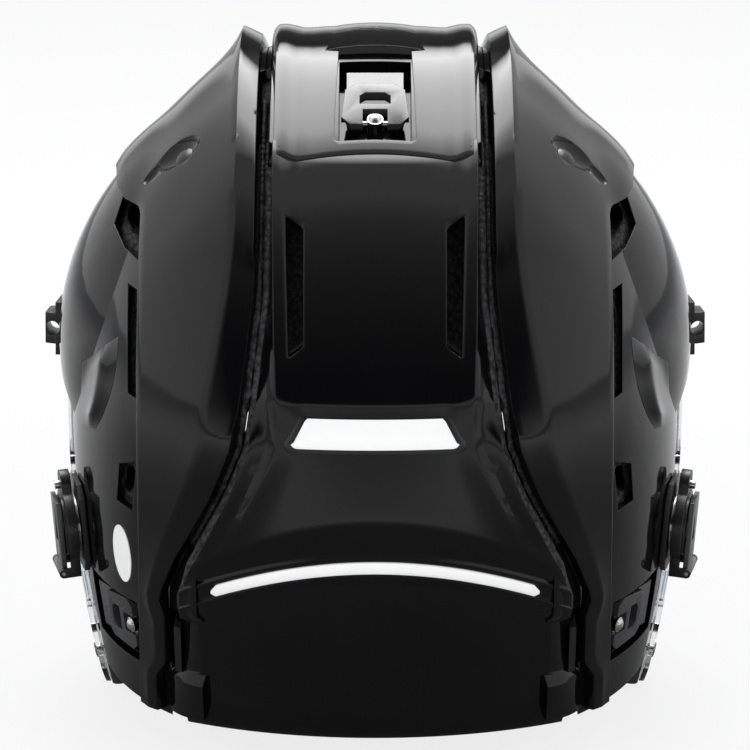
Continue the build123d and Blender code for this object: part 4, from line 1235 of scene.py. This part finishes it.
class HELMET_OT_studio(bpy.types.Operator):
    """Pale floor, soft lights, a black card behind the camera, and the camera"""
    bl_idname = "helmet.studio"
    bl_label = "Studio"

    def execute(self, context):
        floor = added(bpy.ops.mesh.primitive_plane_add, size=30, location=(0, 0, 0))
        floor.name = "floor"
        floor.data.materials.append(floor_finish())
        sides = (("X", 1.0, 2.6, 0.0, 1.0), ("X", -2.6, -1.0, 1.0, 0.0))
        card("card_behind", (-3.0, 2.0, 0.01), (3.0, 2.0, 10.0), 0.0,
             (*sides, ("Z", 0.9, 9.0, 0.0, 1.0), ("Z", 0.2, 0.34, 1.0, 0.0)))
        card("card_ahead", (-3.0, -2.4, 0.4), (3.0, -2.4, 2.2), 0.0,
             (("X", 0.6, 1.6, 0.1, 1.0), ("X", -1.6, -0.6, 1.0, 0.1),
              ("Z", 1.6, 2.2, 0.1, 1.0), ("Z", 0.4, 0.8, 1.0, 0.1)))
        card("card_below", (-1.0, -0.4, 0.002), (1.0, 1.0, 0.002), 0.0,
             (("X", 0.3, 0.9, 0.25, 1.0), ("X", -0.9, -0.3, 1.0, 0.25),
              ("Y", -0.35, 0.0, 1.0, 0.25), ("Y", 0.25, 0.75, 0.25, 1.0)))
        card("card_above", (-0.9, -1.9, 1.35), (0.9, 0.05, 1.35), 10.0,
             (("X", 0.5, 0.85, 0.0, 1.0), ("X", -0.85, -0.5, 1.0, 0.0),
              ("Y", -0.25, 0.05, 0.0, 1.0), ("Y", -1.8, -1.2, 1.0, 0.0)))
        area_light("key_overhead", (0.0, -0.75, 1.25), (0.9, 0.5), 11.0, glossy=False)
        area_light("fill_rear_left", (1.3, 1.3, 0.9), (1.0, 1.0), 14.0, glossy=False)
        area_light("fill_rear_right", (-1.3, 1.3, 0.9), (1.0, 1.0), 14.0, glossy=False)
        pale_world()
        context.scene.view_settings.view_transform = "Standard"
        data = bpy.data.cameras.new("camera")
        camera = bpy.data.objects.new("camera", data)
        context.scene.collection.objects.link(camera)
        tilt = radians(CAMERA_TILT)
        back = Vector((0, cos(tilt), sin(tilt)))
        camera.location = CAMERA_AIM + back * sizes().camera_distance
        camera.rotation_euler = (-back).to_track_quat("-Z", "Y").to_euler()
        data.sensor_width = CAMERA_SENSOR
        data.lens = CAMERA_LENS
        data.shift_x = SHIFT_X / PICTURE_WIDTH
        data.shift_y = SHIFT_Y / PICTURE_WIDTH
        context.scene.camera = camera
        return {"FINISHED"}


STEPS = (HELMET_OT_studio, HELMET_OT_carried_parts, HELMET_OT_rear_shell, HELMET_OT_cup_sides,
         HELMET_OT_band_trim, HELMET_OT_side_panels, HELMET_OT_facets, HELMET_OT_tongue,
         HELMET_OT_eased_parts, HELMET_OT_liner, HELMET_OT_pads, HELMET_OT_strap_folds)


class HELMET_PT_panel(bpy.types.Panel):
    bl_idname = "HELMET_PT_panel"
    bl_label = "Helmet"
    bl_space_type = "VIEW_3D"
    bl_region_type = "UI"
    bl_category = "Helmet"

    def draw(self, context):
        column = self.layout.column(align=True)
        for step in STEPS:
            column.operator(step.bl_idname)
        for group in (context.scene.helmet_sizes, context.scene.helmet_colours):
            for name in group.bl_rna.properties.keys():
                if name not in ("rna_type", "name"):
                    column.prop(group, name)


CLASSES = (HelmetSizes, HelmetColours, *STEPS, HELMET_PT_panel)


def register():
    for made in CLASSES:
        bpy.utils.register_class(made)
    bpy.types.Scene.helmet_sizes = bpy.props.PointerProperty(type=HelmetSizes)
    bpy.types.Scene.helmet_colours = bpy.props.PointerProperty(type=HelmetColours)


def unregister():
    del bpy.types.Scene.helmet_sizes
    del bpy.types.Scene.helmet_colours
    for made in reversed(CLASSES):
        bpy.utils.unregister_class(made)


def main():
    register()
    for step in STEPS:
        group, name = step.bl_idname.split(".")
        getattr(getattr(bpy.ops, group), name)()


if __name__ == "__main__":
    main()
